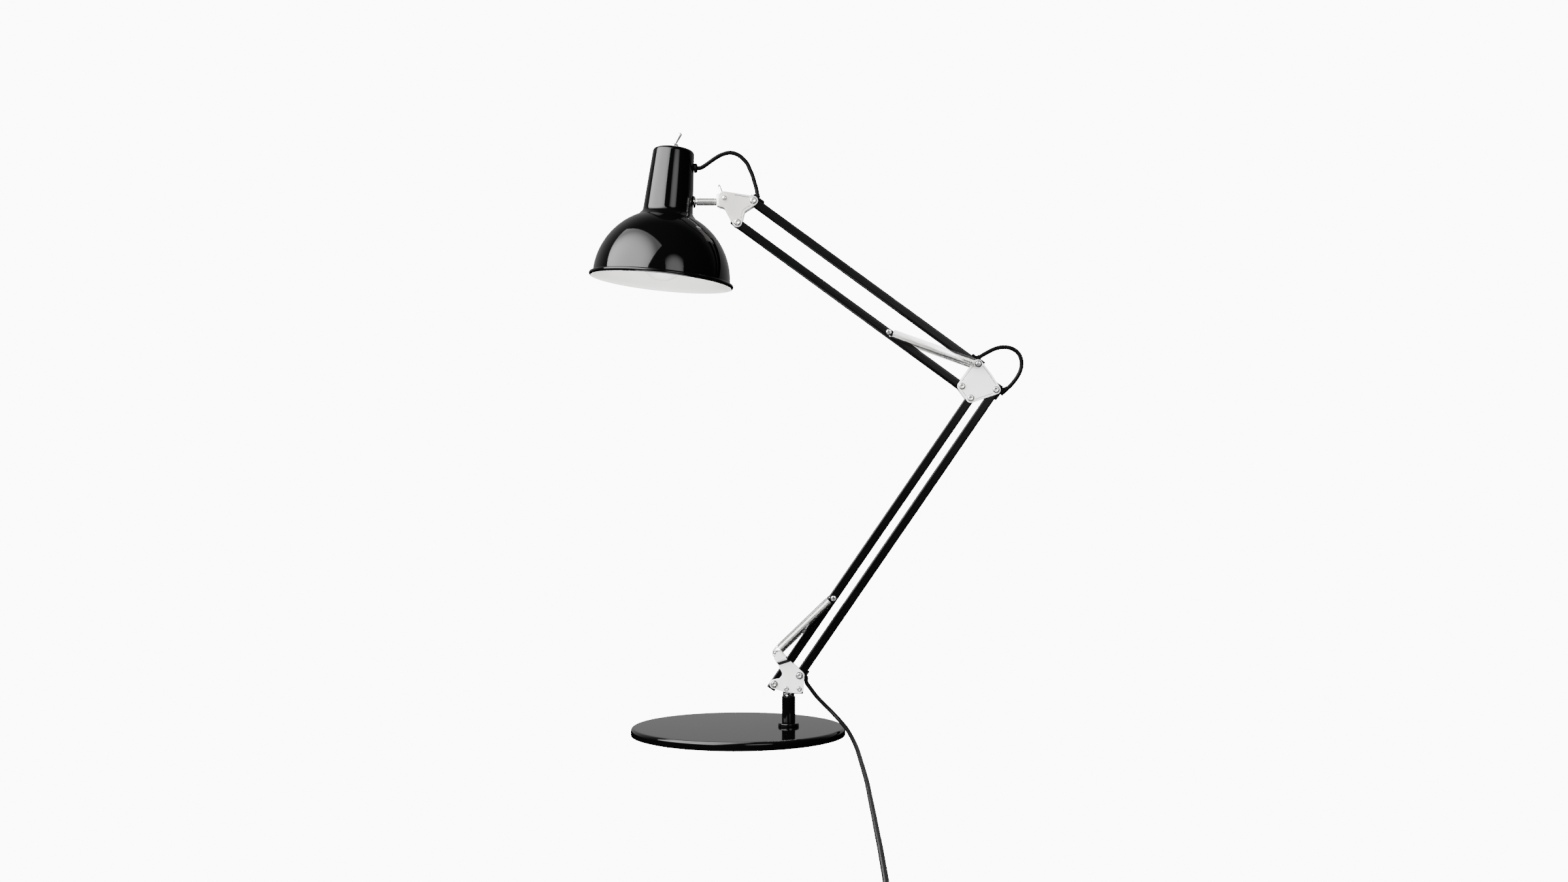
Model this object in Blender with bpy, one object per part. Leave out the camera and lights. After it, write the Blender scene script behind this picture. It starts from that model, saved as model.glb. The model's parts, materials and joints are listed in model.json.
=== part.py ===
"""Spring-balanced desk lamp: round base, two parallelogram arms, dome shade.

Units are metres, +Z is up. The origin is the centre of the foot pad's underside. The arms lie in the
XZ plane: they lean to +X from the base and come back over it to the shade on the -X side.
"""
import math

import bmesh
import bpy
from mathutils import Matrix, Vector

# Driving dimensions ---------------------------------------------------------------------------
GAP = 0.0003                 # room left between pieces that touch
BASE_RADIUS = 0.1475
PAD_THICKNESS = 0.0012
DISC_BOTTOM = PAD_THICKNESS + GAP
DISC_TOP = 0.0125
STEM_X = 0.0693
STEM_RADIUS = 0.0093
STEM_TOP = 0.0540
NECK_TOP = 0.0580            # top of the round neck of the swivel block
BLOCK_TOP = 0.0700

TUBE_HALF = 0.0060           # half the side of the square arm tube
TUBE_WALL = 0.0010
TUBE_CORNER = 0.0012
PLATE_MIDDLE = 0.00715       # middle of a bracket plate, from the arm plane
PLATE_THICKNESS = 0.0015
PLATE_OUTSIDE = PLATE_MIDDLE + PLATE_THICKNESS / 2
EAR_MIDDLE = 0.01695         # the spring ears stand further out than the plates
SPRING_PLANE = 0.0145        # the springs hang on both sides of the arms
SPRING_RADIUS = 0.0060
STUD_END = EAR_MIDDLE - PLATE_THICKNESS / 2 - GAP
PIN_RADIUS = 0.0024
HOLE_RADIUS = PIN_RADIUS + GAP
BLOCK_HALF = 0.0059

# Pivots as (x, z)
PIVOT_H = (0.0495, 0.0713)   # foot of the left lower tube
PIVOT_I = (0.0842, 0.0829)   # foot of the right lower tube
RIVET_J = (0.0662, 0.0646)
RIVET_K = (0.0838, 0.0645)
LOWER_ARM = (0.2699, 0.3926)  # from the foot to the top of each lower tube
PIVOT_F = (PIVOT_H[0] + LOWER_ARM[0], PIVOT_H[1] + LOWER_ARM[1])
PIVOT_G = (PIVOT_I[0] + LOWER_ARM[0], PIVOT_I[1] + LOWER_ARM[1])
PIVOT_D = (0.3291, 0.5102)   # foot of the top tube of the upper arm
PIVOT_E = (0.3073, 0.4803)   # foot of its bottom tube
UPPER_ARM = (-0.3084, 0.2249)
PIVOT_B = (PIVOT_D[0] + UPPER_ARM[0], PIVOT_D[1] + UPPER_ARM[1])
PIVOT_C = (PIVOT_E[0] + UPPER_ARM[0], PIVOT_E[1] + UPPER_ARM[1])
PIVOT_A = (-0.0188, 0.7386)  # tilt bolt of the head
SPRING_ANCHOR = (0.0518, 0.1136)
LOWER_PIN_SHARE = 0.3009     # how far up the left lower tube its spring pin sits
UPPER_PIN_SHARE = 0.3268

ROD_Z = 0.7345
ROD_RADIUS = 0.0050
SHADE_TILT = math.radians(5.5)
SHADE_RIM = Vector((-0.1062, 0.0, 0.6243))
SHADE_AXIS = Vector((math.sin(SHADE_TILT), 0.0, math.cos(SHADE_TILT)))
SHADE_WALL = 0.0012
DOME_RADIUS = 0.0948
DOME_HEIGHT = 0.0955
DOME_BASE = 0.0030
NECK_HEIGHT = 0.1806
TOGGLE_PIVOT = 0.1885        # height of the toggle's ball above the rim plane
TOGGLE_LEAN = math.radians(21.5)

CORD_RADIUS = 0.0029
COIL_CENTRE = (0.1800, -0.9650)
COIL_MIDDLE_RADIUS = 0.0320
COIL_HALF_WIDTH = 0.0068
COIL_HEIGHT = 0.0118
PLUG_START = 0.2060

# Scene, materials and bodies ------------------------------------------------------------------
for old in list(bpy.data.objects):
    bpy.data.objects.remove(old, do_unlink=True)


def material(name, colour, roughness, metallic):
    """A Principled material with one colour."""
    made = bpy.data.materials.new(name)
    made.use_nodes = True
    shader = made.node_tree.nodes["Principled BSDF"]
    shader.inputs["Base Color"].default_value = (*colour, 1.0)
    shader.inputs["Roughness"].default_value = roughness
    shader.inputs["Metallic"].default_value = metallic
    return made


BLACK = material("gloss_black_paint", (0.010, 0.010, 0.011), 0.15, 0.0)
SATIN = material("satin_black_paint", (0.014, 0.014, 0.015), 0.38, 0.0)
NICKEL = material("nickel_plate", (0.72, 0.71, 0.69), 0.30, 1.0)
CHROME = material("chrome", (0.80, 0.80, 0.80), 0.08, 1.0)
SPRING_STEEL = material("spring_steel", (0.62, 0.61, 0.59), 0.25, 1.0)
RUBBER = material("black_rubber", (0.012, 0.012, 0.012), 0.55, 0.0)
PLASTIC = material("black_plastic", (0.015, 0.015, 0.016), 0.35, 0.0)
FELT = material("foot_pad", (0.020, 0.020, 0.020), 0.95, 0.0)
PORCELAIN = material("holder_white", (0.75, 0.74, 0.72), 0.35, 0.0)
GLASS = material("frosted_glass", (0.82, 0.81, 0.78), 0.45, 0.0)
STEEL = material("plain_steel", (0.55, 0.55, 0.55), 0.35, 1.0)
BODIES = {}


def body(name, pivot, parent=None):
    """An empty on the joint's axis that carries the pieces of one moving body."""
    empty = bpy.data.objects.new("body_" + name, None)
    bpy.context.scene.collection.objects.link(empty)
    point = Vector(pivot)
    if parent:
        empty.parent = BODIES[parent][0]
        empty.location = point - BODIES[parent][1]
    BODIES[name] = (empty, point)


def in_plane(spot, y=0.0):
    """A point of the arm plane, or beside it, from its (x, z)."""
    return Vector((spot[0], y, spot[1]))


def piece(name, bm, finish, owner):
    """Store a solid, drawn in world coordinates, as one named object of its body."""
    mesh = bpy.data.meshes.new(name)
    bm.to_mesh(mesh)
    bm.free()
    empty, pivot = BODIES[owner]
    mesh.transform(Matrix.Translation(-pivot))
    mesh.materials.append(finish)
    mesh.shade_smooth()
    mesh.set_sharp_from_angle(angle=math.radians(35))
    made = bpy.data.objects.new(name, mesh)
    made.parent = empty
    bpy.context.scene.collection.objects.link(made)
    return made


def combine(target, helper, operation):
    """Cut a helper shape out of the target, or weld it on."""
    helper.hide_render = True
    helper.display_type = "WIRE"
    step = target.modifiers.new(helper.name, "BOOLEAN")
    step.object = helper
    step.operation = operation
    step.solver = "EXACT"


# Shapes ---------------------------------------------------------------------------------------
def turned(profile, origin, direction, segments=16):
    """A solid turned about an axis from (radius, height) points, ring-shaped if it clears the axis."""
    bm = bmesh.new()
    points = [bm.verts.new((radius, 0.0, height)) for radius, height in profile]
    edges = [bm.edges.new(pair) for pair in zip(points, points[1:])]
    if profile[0][0] > 0.0:
        edges.append(bm.edges.new((points[-1], points[0])))
    bmesh.ops.spin(bm, geom=points + edges, cent=(0, 0, 0), axis=(0, 0, 1), angle=2 * math.pi,
                   steps=segments, use_merge=True)
    bmesh.ops.remove_doubles(bm, verts=bm.verts, dist=1e-6)
    bmesh.ops.recalc_face_normals(bm, faces=bm.faces)
    aim = Vector(direction).to_track_quat("Z", "Y").to_matrix().to_4x4()
    bm.transform(Matrix.Translation(Vector(origin)) @ aim)
    return bm


def rod(radius, low, high, origin, direction, segments=16):
    """A plain cylinder between two heights of an axis."""
    profile = [(0.0, high), (radius, high), (radius, low), (0.0, low)]
    return turned(profile, origin, direction, segments)


def block(size, centre, along=(1.0, 0.0, 0.0), bevel=0.0):
    """A box with its first side along a direction of the arm plane."""
    bm = bmesh.new()
    angle = math.atan2(along[2], along[0])
    place = Matrix.Translation(Vector(centre)) @ Matrix.Rotation(-angle, 4, "Y")
    bmesh.ops.create_cube(bm, size=1.0, matrix=place @ Matrix.Diagonal((*size, 1.0)))
    if bevel:
        bmesh.ops.bevel(bm, geom=bm.edges[:], offset=bevel, affect="EDGES", segments=2, profile=0.5,
                        material=-1)
    return bm


def pin(name, spot, owner, head_from, head_radius=0.00475, head_height=0.0026,
        shank=PIN_RADIUS, finish=NICKEL):
    """A riveted pin across the arm plane, with a low dome at each end."""
    dome = [(0.0, 1.0), (0.55, 0.88), (0.88, 0.55), (1.0, 0.15), (1.0, 0.0)]
    near = [(share * head_radius, head_from + rise * head_height) for share, rise in dome]
    far = [(radius, -height) for radius, height in reversed(near)]
    profile = near + [(shank, head_from), (shank, -head_from)] + far
    return piece(name, turned(profile, in_plane(spot), (0, -1, 0)), finish, owner)


def drill(name, spot, owner, radius=HOLE_RADIUS, reach=0.03):
    """A drill through everything at one pivot, across the arm plane."""
    return piece(name, rod(radius, -reach, reach, in_plane(spot), (0, -1, 0), 16), STEEL, owner)


def outline(corners, steps=5):
    """Points round a plate whose corners are (x, z, radius), counter-clockwise; edges are tangents."""
    normals = []
    for here, there in zip(corners, corners[1:] + corners[:1]):
        run = Vector((there[0] - here[0], there[1] - here[1]))
        lean = (here[2] - there[2]) / run.length
        ahead = run.normalized()
        side = Vector((ahead.y, -ahead.x))
        normals.append(ahead * lean + side * math.sqrt(1.0 - lean * lean))
    points = []
    for index, (x, z, radius) in enumerate(corners):
        if radius == 0.0:
            points.append((x, z))
            continue
        start = math.atan2(normals[index - 1].y, normals[index - 1].x)
        sweep = (math.atan2(normals[index].y, normals[index].x) - start) % (2 * math.pi)
        for step in range(steps + 1):
            angle = start + sweep * step / steps
            points.append((x + radius * math.cos(angle), z + radius * math.sin(angle)))
    return points


def plate(name, corners, side, holes, owner, ear=()):
    """A sheet-metal plate beside the arms; side is -1 in front and +1 behind. The last two corners of
    a plate with an ear are the fold line, and the ear's own corners follow from the fold upwards."""
    bm = bmesh.new()
    sheet = [bm.verts.new((x, side * PLATE_MIDDLE, z)) for x, z in outline(corners)]
    bm.faces.new(sheet)
    if ear:
        right, left = sheet[-2], sheet[-1]
        tip = [bm.verts.new((x, side * EAR_MIDDLE, z)) for x, z in ear]
        bm.faces.new([right, tip[0], tip[-1], left])
        bm.faces.new(tip)
    bmesh.ops.recalc_face_normals(bm, faces=bm.faces)
    made = piece(name, bm, NICKEL, owner)
    solid = made.modifiers.new("thickness", "SOLIDIFY")
    solid.thickness = PLATE_THICKNESS
    solid.offset = 0.0
    solid.use_even_offset = True
    for hole in holes:
        combine(made, hole, "DIFFERENCE")
    return made


def arm_tube(name, start, end, tails, holes, owner):
    """A square tube with eased corners, open at both ends, past its two pivots by the tails."""
    foot = in_plane(start)
    along = (in_plane(end) - foot).normalized()
    length = (in_plane(end) - foot).length + tails[0] + tails[1]
    angle = math.atan2(along.z, along.x)
    place = Matrix.Translation(foot - along * tails[0]) @ Matrix.Rotation(-angle, 4, "Y")
    bm = bmesh.new()
    loops = []
    for half, corner in ((TUBE_HALF, TUBE_CORNER), (TUBE_HALF - TUBE_WALL, TUBE_CORNER / 2)):
        ring = []
        for sy, sz in ((1, 1), (-1, 1), (-1, -1), (1, -1)):
            first = (0.0, sy * half, sz * (half - corner))
            second = (0.0, sy * (half - corner), sz * half)
            ring += [first, second] if sy * sz > 0 else [second, first]
        verts = [bm.verts.new(place @ Vector(point)) for point in ring]
        loops += [bm.edges.new(pair) for pair in zip(verts, verts[1:] + verts[:1])]
    wall = bmesh.ops.bridge_loops(bm, edges=loops)
    drawn = bmesh.ops.extrude_face_region(bm, geom=wall["faces"])
    moved = [item for item in drawn["geom"] if isinstance(item, bmesh.types.BMVert)]
    bmesh.ops.translate(bm, verts=moved, vec=along * length)
    bmesh.ops.recalc_face_normals(bm, faces=bm.faces)
    made = piece(name, bm, SATIN, owner)
    for hole in holes:
        combine(made, hole, "DIFFERENCE")
    return made


def tube_frame(pivot, end):
    """The pivot as a point, the direction along a tube and the direction out of its outer side."""
    along = (in_plane(end) - in_plane(pivot)).normalized()
    return in_plane(pivot), along, Vector((along.z, 0.0, -along.x))


def tube_grommet(name, pivot, towards, reach, cord_point, cord_way, outer, owner, sleeve=0.0052):
    """The rubber grommet on the outer side of a tube where the flex goes in. reach is its first and
    last distance along the tube from the pivot, and outer tells which side of the tube it is on."""
    foot, along, across = tube_frame(pivot, towards)
    across = across * outer
    thick = 0.0026
    middle = foot + along * (reach[0] + reach[1]) / 2 + across * (TUBE_HALF + GAP + thick / 2)
    made = piece(name, block((reach[1] - reach[0], 0.0108, thick), middle, along, 0.0006), RUBBER, owner)
    boss = rod(0.0040, -sleeve, -GAP, cord_point, cord_way, 12)
    combine(made, piece(name + "_boss", boss, RUBBER, owner), "UNION")
    return made


def slot(name, pivot, towards, reach, outer, owner):
    """The hole in a tube's outer wall that a grommet's core fills."""
    foot, along, across = tube_frame(pivot, towards)
    across = across * outer
    margin = 0.0015
    middle = foot + along * (reach[0] + reach[1]) / 2 + across * TUBE_HALF
    size = (reach[1] - reach[0] - 2 * margin, 0.0086, 0.0040)
    return piece(name, block(size, middle, along), STEEL, owner)


def spring(name, start, end, side, trim, owner):
    """The outer shape of one pull spring between its two hook ends."""
    first = in_plane(start, side * SPRING_PLANE)
    way = in_plane(end, side * SPRING_PLANE) - first
    solid = rod(SPRING_RADIUS, trim[0], way.length - trim[1], first, way, 12)
    return piece(name, solid, SPRING_STEEL, owner)


def smooth_route(points, spacing):
    """Evenly spaced points on a Catmull-Rom curve through a route."""
    knots = [Vector(point) for point in points]
    ends = [2 * knots[0] - knots[1]] + knots + [2 * knots[-1] - knots[-2]]
    fine = []
    for a, b, c, d in zip(ends, ends[1:], ends[2:], ends[3:]):
        for step in range(24):
            t = step / 24
            fine.append(0.5 * (2 * b + (c - a) * t + (2 * a - 5 * b + 4 * c - d) * t ** 2
                               + (3 * b - a - 3 * c + d) * t ** 3))
    fine.append(knots[-1])
    lengths = [0.0]
    for here, there in zip(fine, fine[1:]):
        lengths.append(lengths[-1] + (there - here).length)
    count = max(2, round(lengths[-1] / spacing))
    route = []
    index = 0
    for step in range(count + 1):
        target = lengths[-1] * step / count
        while index < len(fine) - 2 and lengths[index + 1] < target:
            index += 1
        share = (target - lengths[index]) / (lengths[index + 1] - lengths[index])
        route.append(fine[index].lerp(fine[index + 1], share))
    lead = 0.0020            # a short straight piece squares the flex to what it meets
    route.insert(1, knots[0] + (knots[1] - knots[0]).normalized() * lead)
    route.insert(-1, knots[-1] + (knots[-2] - knots[-1]).normalized() * lead)
    return route


def ahead(point, way, distance=0.0040):
    """The point a little further along a direction."""
    return tuple(Vector(point) + Vector(way).normalized() * distance)


def cord(name, points, spacing, owner):
    """A round flex as a bevelled curve with filled ends."""
    empty, pivot = BODIES[owner]
    curve = bpy.data.curves.new(name, "CURVE")
    curve.dimensions = "3D"
    curve.bevel_depth = CORD_RADIUS
    curve.bevel_resolution = 2
    curve.use_fill_caps = True
    route = smooth_route(points, spacing)
    spline = curve.splines.new("POLY")
    spline.points.add(len(route) - 1)
    for knot, point in zip(spline.points, route):
        knot.co = (*(point - pivot), 1.0)
    curve.materials.append(RUBBER)
    made = bpy.data.objects.new(name, curve)
    made.parent = empty
    bpy.context.scene.collection.objects.link(made)
    return made


def on_shade(radius, height):
    """A point of the shade's frame, towards +X by radius and up its axis by height."""
    return SHADE_RIM + Vector((math.cos(SHADE_TILT), 0.0, -math.sin(SHADE_TILT))) * radius \
        + SHADE_AXIS * height


# Bodies, each empty on its joint ---------------------------------------------------------------
SWIVEL_POINT = (STEM_X, 0.0, STEM_TOP)
body("base", (0.0, 0.0, 0.0))
body("bracket", SWIVEL_POINT, "base")
body("lower_arm_right", in_plane(PIVOT_I), "bracket")
body("lower_arm_left", in_plane(PIVOT_H), "bracket")
body("elbow", in_plane(PIVOT_G), "lower_arm_right")
body("upper_arm_top", in_plane(PIVOT_D), "elbow")
body("upper_arm_bottom", in_plane(PIVOT_E), "elbow")
body("head_bracket", in_plane(PIVOT_B), "upper_arm_top")
body("wing_nut", in_plane(PIVOT_A), "head_bracket")
body("head_rod", in_plane(PIVOT_A), "head_bracket")
body("shade", (-0.0620, 0.0, ROD_Z), "head_rod")
body("toggle_lever", on_shade(0.0, TOGGLE_PIVOT), "shade")


# Base and stem ----------------------------------------------------------------------------------
def make_base():
    up = (0, 0, 1)
    pad_radius = BASE_RADIUS - 0.006
    pad = [(0.0, PAD_THICKNESS), (pad_radius, PAD_THICKNESS), (pad_radius, 0.0), (0.0, 0.0)]
    piece("foot_pad", turned(pad, (0, 0, 0), up, 48), FELT, "base")
    disc = [(0.0, DISC_TOP), (BASE_RADIUS - 0.0050, DISC_TOP), (BASE_RADIUS - 0.0022, DISC_TOP - 0.0010),
            (BASE_RADIUS - 0.0005, DISC_TOP - 0.0030), (BASE_RADIUS, DISC_TOP - 0.0055),
            (BASE_RADIUS, DISC_BOTTOM + 0.0008), (BASE_RADIUS - 0.0008, DISC_BOTTOM), (0.0, DISC_BOTTOM)]
    base_disc = piece("base_disc", turned(disc, (0, 0, 0), up, 64), BLACK, "base")
    stem = (STEM_X, 0.0, 0.0)
    counterbore = [(0.0, 0.03), (0.0033, 0.03), (0.0033, 0.0062), (0.0068, 0.0062), (0.0068, -0.01),
                   (0.0, -0.01)]
    combine(base_disc, piece("stem_hole", turned(counterbore, stem, up, 16), STEEL, "base"), "DIFFERENCE")
    bolt = [(0.0, 0.0265), (0.0030, 0.0265), (0.0030, 0.0059), (0.0064, 0.0059), (0.0064, 0.0020),
            (0.0, 0.0020)]
    piece("stem_bolt", turned(bolt, stem, up, 12), STEEL, "base")
    flange_low = DISC_TOP + GAP
    flange_top = flange_low + 0.0045
    flange = [(0.0033, flange_top), (0.0120, flange_top), (0.0145, flange_top - 0.0015),
              (0.0145, flange_low), (0.0033, flange_low)]
    piece("stem_flange", turned(flange, stem, up, 24), BLACK, "base")
    foot = flange_top + GAP
    bore = 0.0068
    tube = [(bore, STEM_TOP), (STEM_RADIUS - 0.0006, STEM_TOP), (STEM_RADIUS, STEM_TOP - 0.0006),
            (STEM_RADIUS, foot), (bore, foot)]
    piece("stem_tube", turned(tube, stem, up, 24), BLACK, "base")
    plug = [(0.0033, foot + 0.0100), (bore - GAP, foot + 0.0100), (bore - GAP, foot), (0.0033, foot)]
    piece("stem_plug", turned(plug, stem, up, 12), STEEL, "base")
    bush = [(0.0043, STEM_TOP - GAP), (bore - GAP, STEM_TOP - GAP), (bore - GAP, 0.0330), (0.0043, 0.0330)]
    piece("stem_bush", turned(bush, stem, up, 12), PLASTIC, "base")


# Bracket on the stem ------------------------------------------------------------------------------
def make_bracket():
    stem = (STEM_X, 0.0, 0.0)
    neck = [(0.0, NECK_TOP), (0.0082, NECK_TOP), (0.0082, STEM_TOP + 2 * GAP),
            (0.0040, STEM_TOP + 2 * GAP), (0.0040, 0.0340), (0.0, 0.0340)]
    swivel = piece("swivel_block", turned(neck, stem, (0, 0, 1), 24), CHROME, "bracket")
    box_low = NECK_TOP - 0.0010
    box_middle = (0.0755, 0.0, (BLOCK_TOP + box_low) / 2)
    body_box = block((0.0280, 2 * BLOCK_HALF, BLOCK_TOP - box_low), box_middle)
    combine(swivel, piece("swivel_box", body_box, CHROME, "bracket"), "UNION")
    drills = {"h": PIVOT_H, "i": PIVOT_I, "j": RIVET_J, "k": RIVET_K}
    holes = {key: drill("drill_" + key, spot, "bracket") for key, spot in drills.items()}
    combine(swivel, holes["j"], "DIFFERENCE")
    combine(swivel, holes["k"], "DIFFERENCE")
    corners = [(*PIVOT_H, 0.0063), (*RIVET_J, 0.0046), (*RIVET_K, 0.0061), (*PIVOT_I, 0.0066),
               (0.0720, 0.1026, 0.0), (0.0558, 0.0974, 0.0)]
    waist = [(0.0562, 0.0938, 0.0), (0.0590, 0.0900, 0.0), (0.0606, 0.0862, 0.0), (0.0602, 0.0828, 0.0),
             (0.0569, 0.0793, 0.0)]
    ear = [(0.0663, 0.1075), (0.0593, 0.1157), (0.0532, 0.1162), (0.0489, 0.1076), (0.0522, 0.1027)]
    for side, name in ((-1, "front"), (1, "back")):
        plate("base_plate_" + name, waist + corners, side, holes.values(), "bracket", ear)
    pin("pivot_rivet_left", PIVOT_H, "bracket", PLATE_OUTSIDE + GAP)
    pin("pivot_rivet_right", PIVOT_I, "bracket", PLATE_OUTSIDE + GAP)
    pin("block_rivet_left", RIVET_J, "bracket", PLATE_OUTSIDE + GAP, 0.0034, 0.0020)
    pin("block_rivet_right", RIVET_K, "bracket", PLATE_OUTSIDE + GAP, 0.0034, 0.0020)
    stud = [(0.0, 0.0108), (0.0024, 0.0108), (0.0024, 0.0120), (0.0016, 0.0120), (0.0016, STUD_END),
            (0.0, STUD_END)]
    for side, name in ((-1, "front"), (1, "back")):
        solid = turned(stud, in_plane(SPRING_ANCHOR), (0, side, 0), 12)
        piece("spring_stud_" + name, solid, STEEL, "bracket")


# Lower arm ------------------------------------------------------------------------------------------
def share_of(start, run, share):
    return (start[0] + run[0] * share, start[1] + run[1] * share)


LOWER_PIN = share_of(PIVOT_H, LOWER_ARM, LOWER_PIN_SHARE)
UPPER_PIN = share_of(PIVOT_E, UPPER_ARM, UPPER_PIN_SHARE)

MAINS_START = (0.0934, 0.0, 0.0758)
MAINS_WAY = (0.20, 0.0, -1.0)
ELBOW_LOW = (0.3705, 0.0, 0.4780)
ELBOW_LOW_WAY = (0.785, 0.0, 0.619)
ELBOW_HIGH = (0.3328, 0.0, 0.5213)
ELBOW_HIGH_WAY = (0.863, 0.0, 0.506)
HEAD_LOW = (0.0260, 0.0, 0.7460)
HEAD_LOW_WAY = (-0.10, 0.0, 1.0)


def make_lower_arm():
    foot_reach = (-0.0070, 0.0120)
    top_reach = (-0.0090, 0.0110)
    holes = [drill("drill_right_foot", PIVOT_I, "lower_arm_right"),
             drill("drill_right_top", PIVOT_G, "lower_arm_right"),
             slot("slot_right_foot", PIVOT_I, PIVOT_G, foot_reach, 1, "lower_arm_right"),
             slot("slot_right_top", PIVOT_G, PIVOT_I, top_reach, -1, "lower_arm_right")]
    arm_tube("lower_tube_right", PIVOT_I, PIVOT_G, (0.0085, 0.0094), holes, "lower_arm_right")
    tube_grommet("grommet_lower_foot", PIVOT_I, PIVOT_G, foot_reach, MAINS_START, MAINS_WAY, 1,
                 "lower_arm_right")
    tube_grommet("grommet_lower_top", PIVOT_G, PIVOT_I, top_reach, ELBOW_LOW, ELBOW_LOW_WAY, -1,
                 "lower_arm_right", 0.0120)
    holes = [drill("drill_left_foot", PIVOT_H, "lower_arm_left"),
             drill("drill_left_top", PIVOT_F, "lower_arm_left"),
             drill("drill_left_pin", LOWER_PIN, "lower_arm_left")]
    arm_tube("lower_tube_left", PIVOT_H, PIVOT_F, (0.0085, 0.0055), holes, "lower_arm_left")
    pin("lower_spring_pin", LOWER_PIN, "lower_arm_left", SPRING_PLANE + 0.0013)
    spring("lower_spring_front", SPRING_ANCHOR, LOWER_PIN, -1, (0.0095, 0.0065), "lower_arm_left")
    spring("lower_spring_back", SPRING_ANCHOR, LOWER_PIN, 1, (0.0095, 0.0065), "lower_arm_left")


# Elbow ----------------------------------------------------------------------------------------------
ELBOW_LOOP = [ELBOW_LOW, ahead(ELBOW_LOW, ELBOW_LOW_WAY), (0.3839, 0.0, 0.4929), (0.3891, 0.0, 0.5038),
              (0.3901, 0.0, 0.5150), (0.3863, 0.0, 0.5255), (0.3775, 0.0, 0.5324), (0.3666, 0.0, 0.5346),
              (0.3553, 0.0, 0.5329), (0.3440, 0.0, 0.5280), ahead(ELBOW_HIGH, ELBOW_HIGH_WAY), ELBOW_HIGH]


def make_elbow():
    drills = {"d": PIVOT_D, "e": PIVOT_E, "f": PIVOT_F, "g": PIVOT_G}
    holes = [drill("drill_" + key, spot, "elbow") for key, spot in drills.items()]
    corners = [(*PIVOT_E, 0.0063), (*PIVOT_F, 0.0063), (*PIVOT_G, 0.0063), (0.3479, 0.4971, 0.0),
               (*PIVOT_D, 0.0068)]
    plate("elbow_plate_front", corners, -1, holes, "elbow")
    plate("elbow_plate_back", corners, 1, holes, "elbow")
    for key in "efg":
        pin("elbow_rivet_" + key, drills[key], "elbow", PLATE_OUTSIDE + GAP)
    pin("elbow_spring_pin", PIVOT_D, "elbow", SPRING_PLANE + 0.0013)
    cord("elbow_cord", ELBOW_LOOP, 0.0065, "elbow")


# Upper arm ------------------------------------------------------------------------------------------
def make_upper_arm():
    foot_reach = (-0.0070, 0.0140)
    head_reach = (-0.0050, 0.0130)
    holes = [drill("drill_top_foot", PIVOT_D, "upper_arm_top"),
             drill("drill_top_end", PIVOT_B, "upper_arm_top"),
             slot("slot_top_foot", PIVOT_D, PIVOT_B, foot_reach, 1, "upper_arm_top"),
             slot("slot_top_end", PIVOT_B, PIVOT_D, head_reach, -1, "upper_arm_top")]
    arm_tube("upper_tube_top", PIVOT_D, PIVOT_B, (0.0080, 0.0070), holes, "upper_arm_top")
    tube_grommet("grommet_upper_foot", PIVOT_D, PIVOT_B, foot_reach, ELBOW_HIGH, ELBOW_HIGH_WAY, 1,
                 "upper_arm_top")
    tube_grommet("grommet_upper_head", PIVOT_B, PIVOT_D, head_reach, HEAD_LOW, HEAD_LOW_WAY, -1,
                 "upper_arm_top")
    holes = [drill("drill_bottom_foot", PIVOT_E, "upper_arm_bottom"),
             drill("drill_bottom_end", PIVOT_C, "upper_arm_bottom"),
             drill("drill_bottom_pin", UPPER_PIN, "upper_arm_bottom")]
    arm_tube("upper_tube_bottom", PIVOT_E, PIVOT_C, (0.0055, 0.0080), holes, "upper_arm_bottom")
    pin("upper_spring_pin", UPPER_PIN, "upper_arm_bottom", SPRING_PLANE + 0.0013)
    spring("upper_spring_front", PIVOT_D, UPPER_PIN, -1, (0.0065, 0.0065), "upper_arm_bottom")
    spring("upper_spring_back", PIVOT_D, UPPER_PIN, 1, (0.0065, 0.0065), "upper_arm_bottom")


# Head -----------------------------------------------------------------------------------------------
NECK_CORD = (-0.0557, 0.0, 0.7812)
HEAD_LOOP = [NECK_CORD, ahead(NECK_CORD, (1, 0, 0)), (-0.0423, 0.0, 0.7872), (-0.0347, 0.0, 0.7928),
             (-0.0261, 0.0, 0.7982), (-0.0180, 0.0, 0.8013), (-0.0113, 0.0, 0.8024),
             (-0.0036, 0.0, 0.8009), (0.0036, 0.0, 0.7968), (0.0090, 0.0, 0.7914), (0.0131, 0.0, 0.7860),
             (0.0167, 0.0, 0.7779), (0.0194, 0.0, 0.7716), (0.0218, 0.0, 0.7635),
             ahead(HEAD_LOW, HEAD_LOW_WAY), HEAD_LOW]


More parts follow.
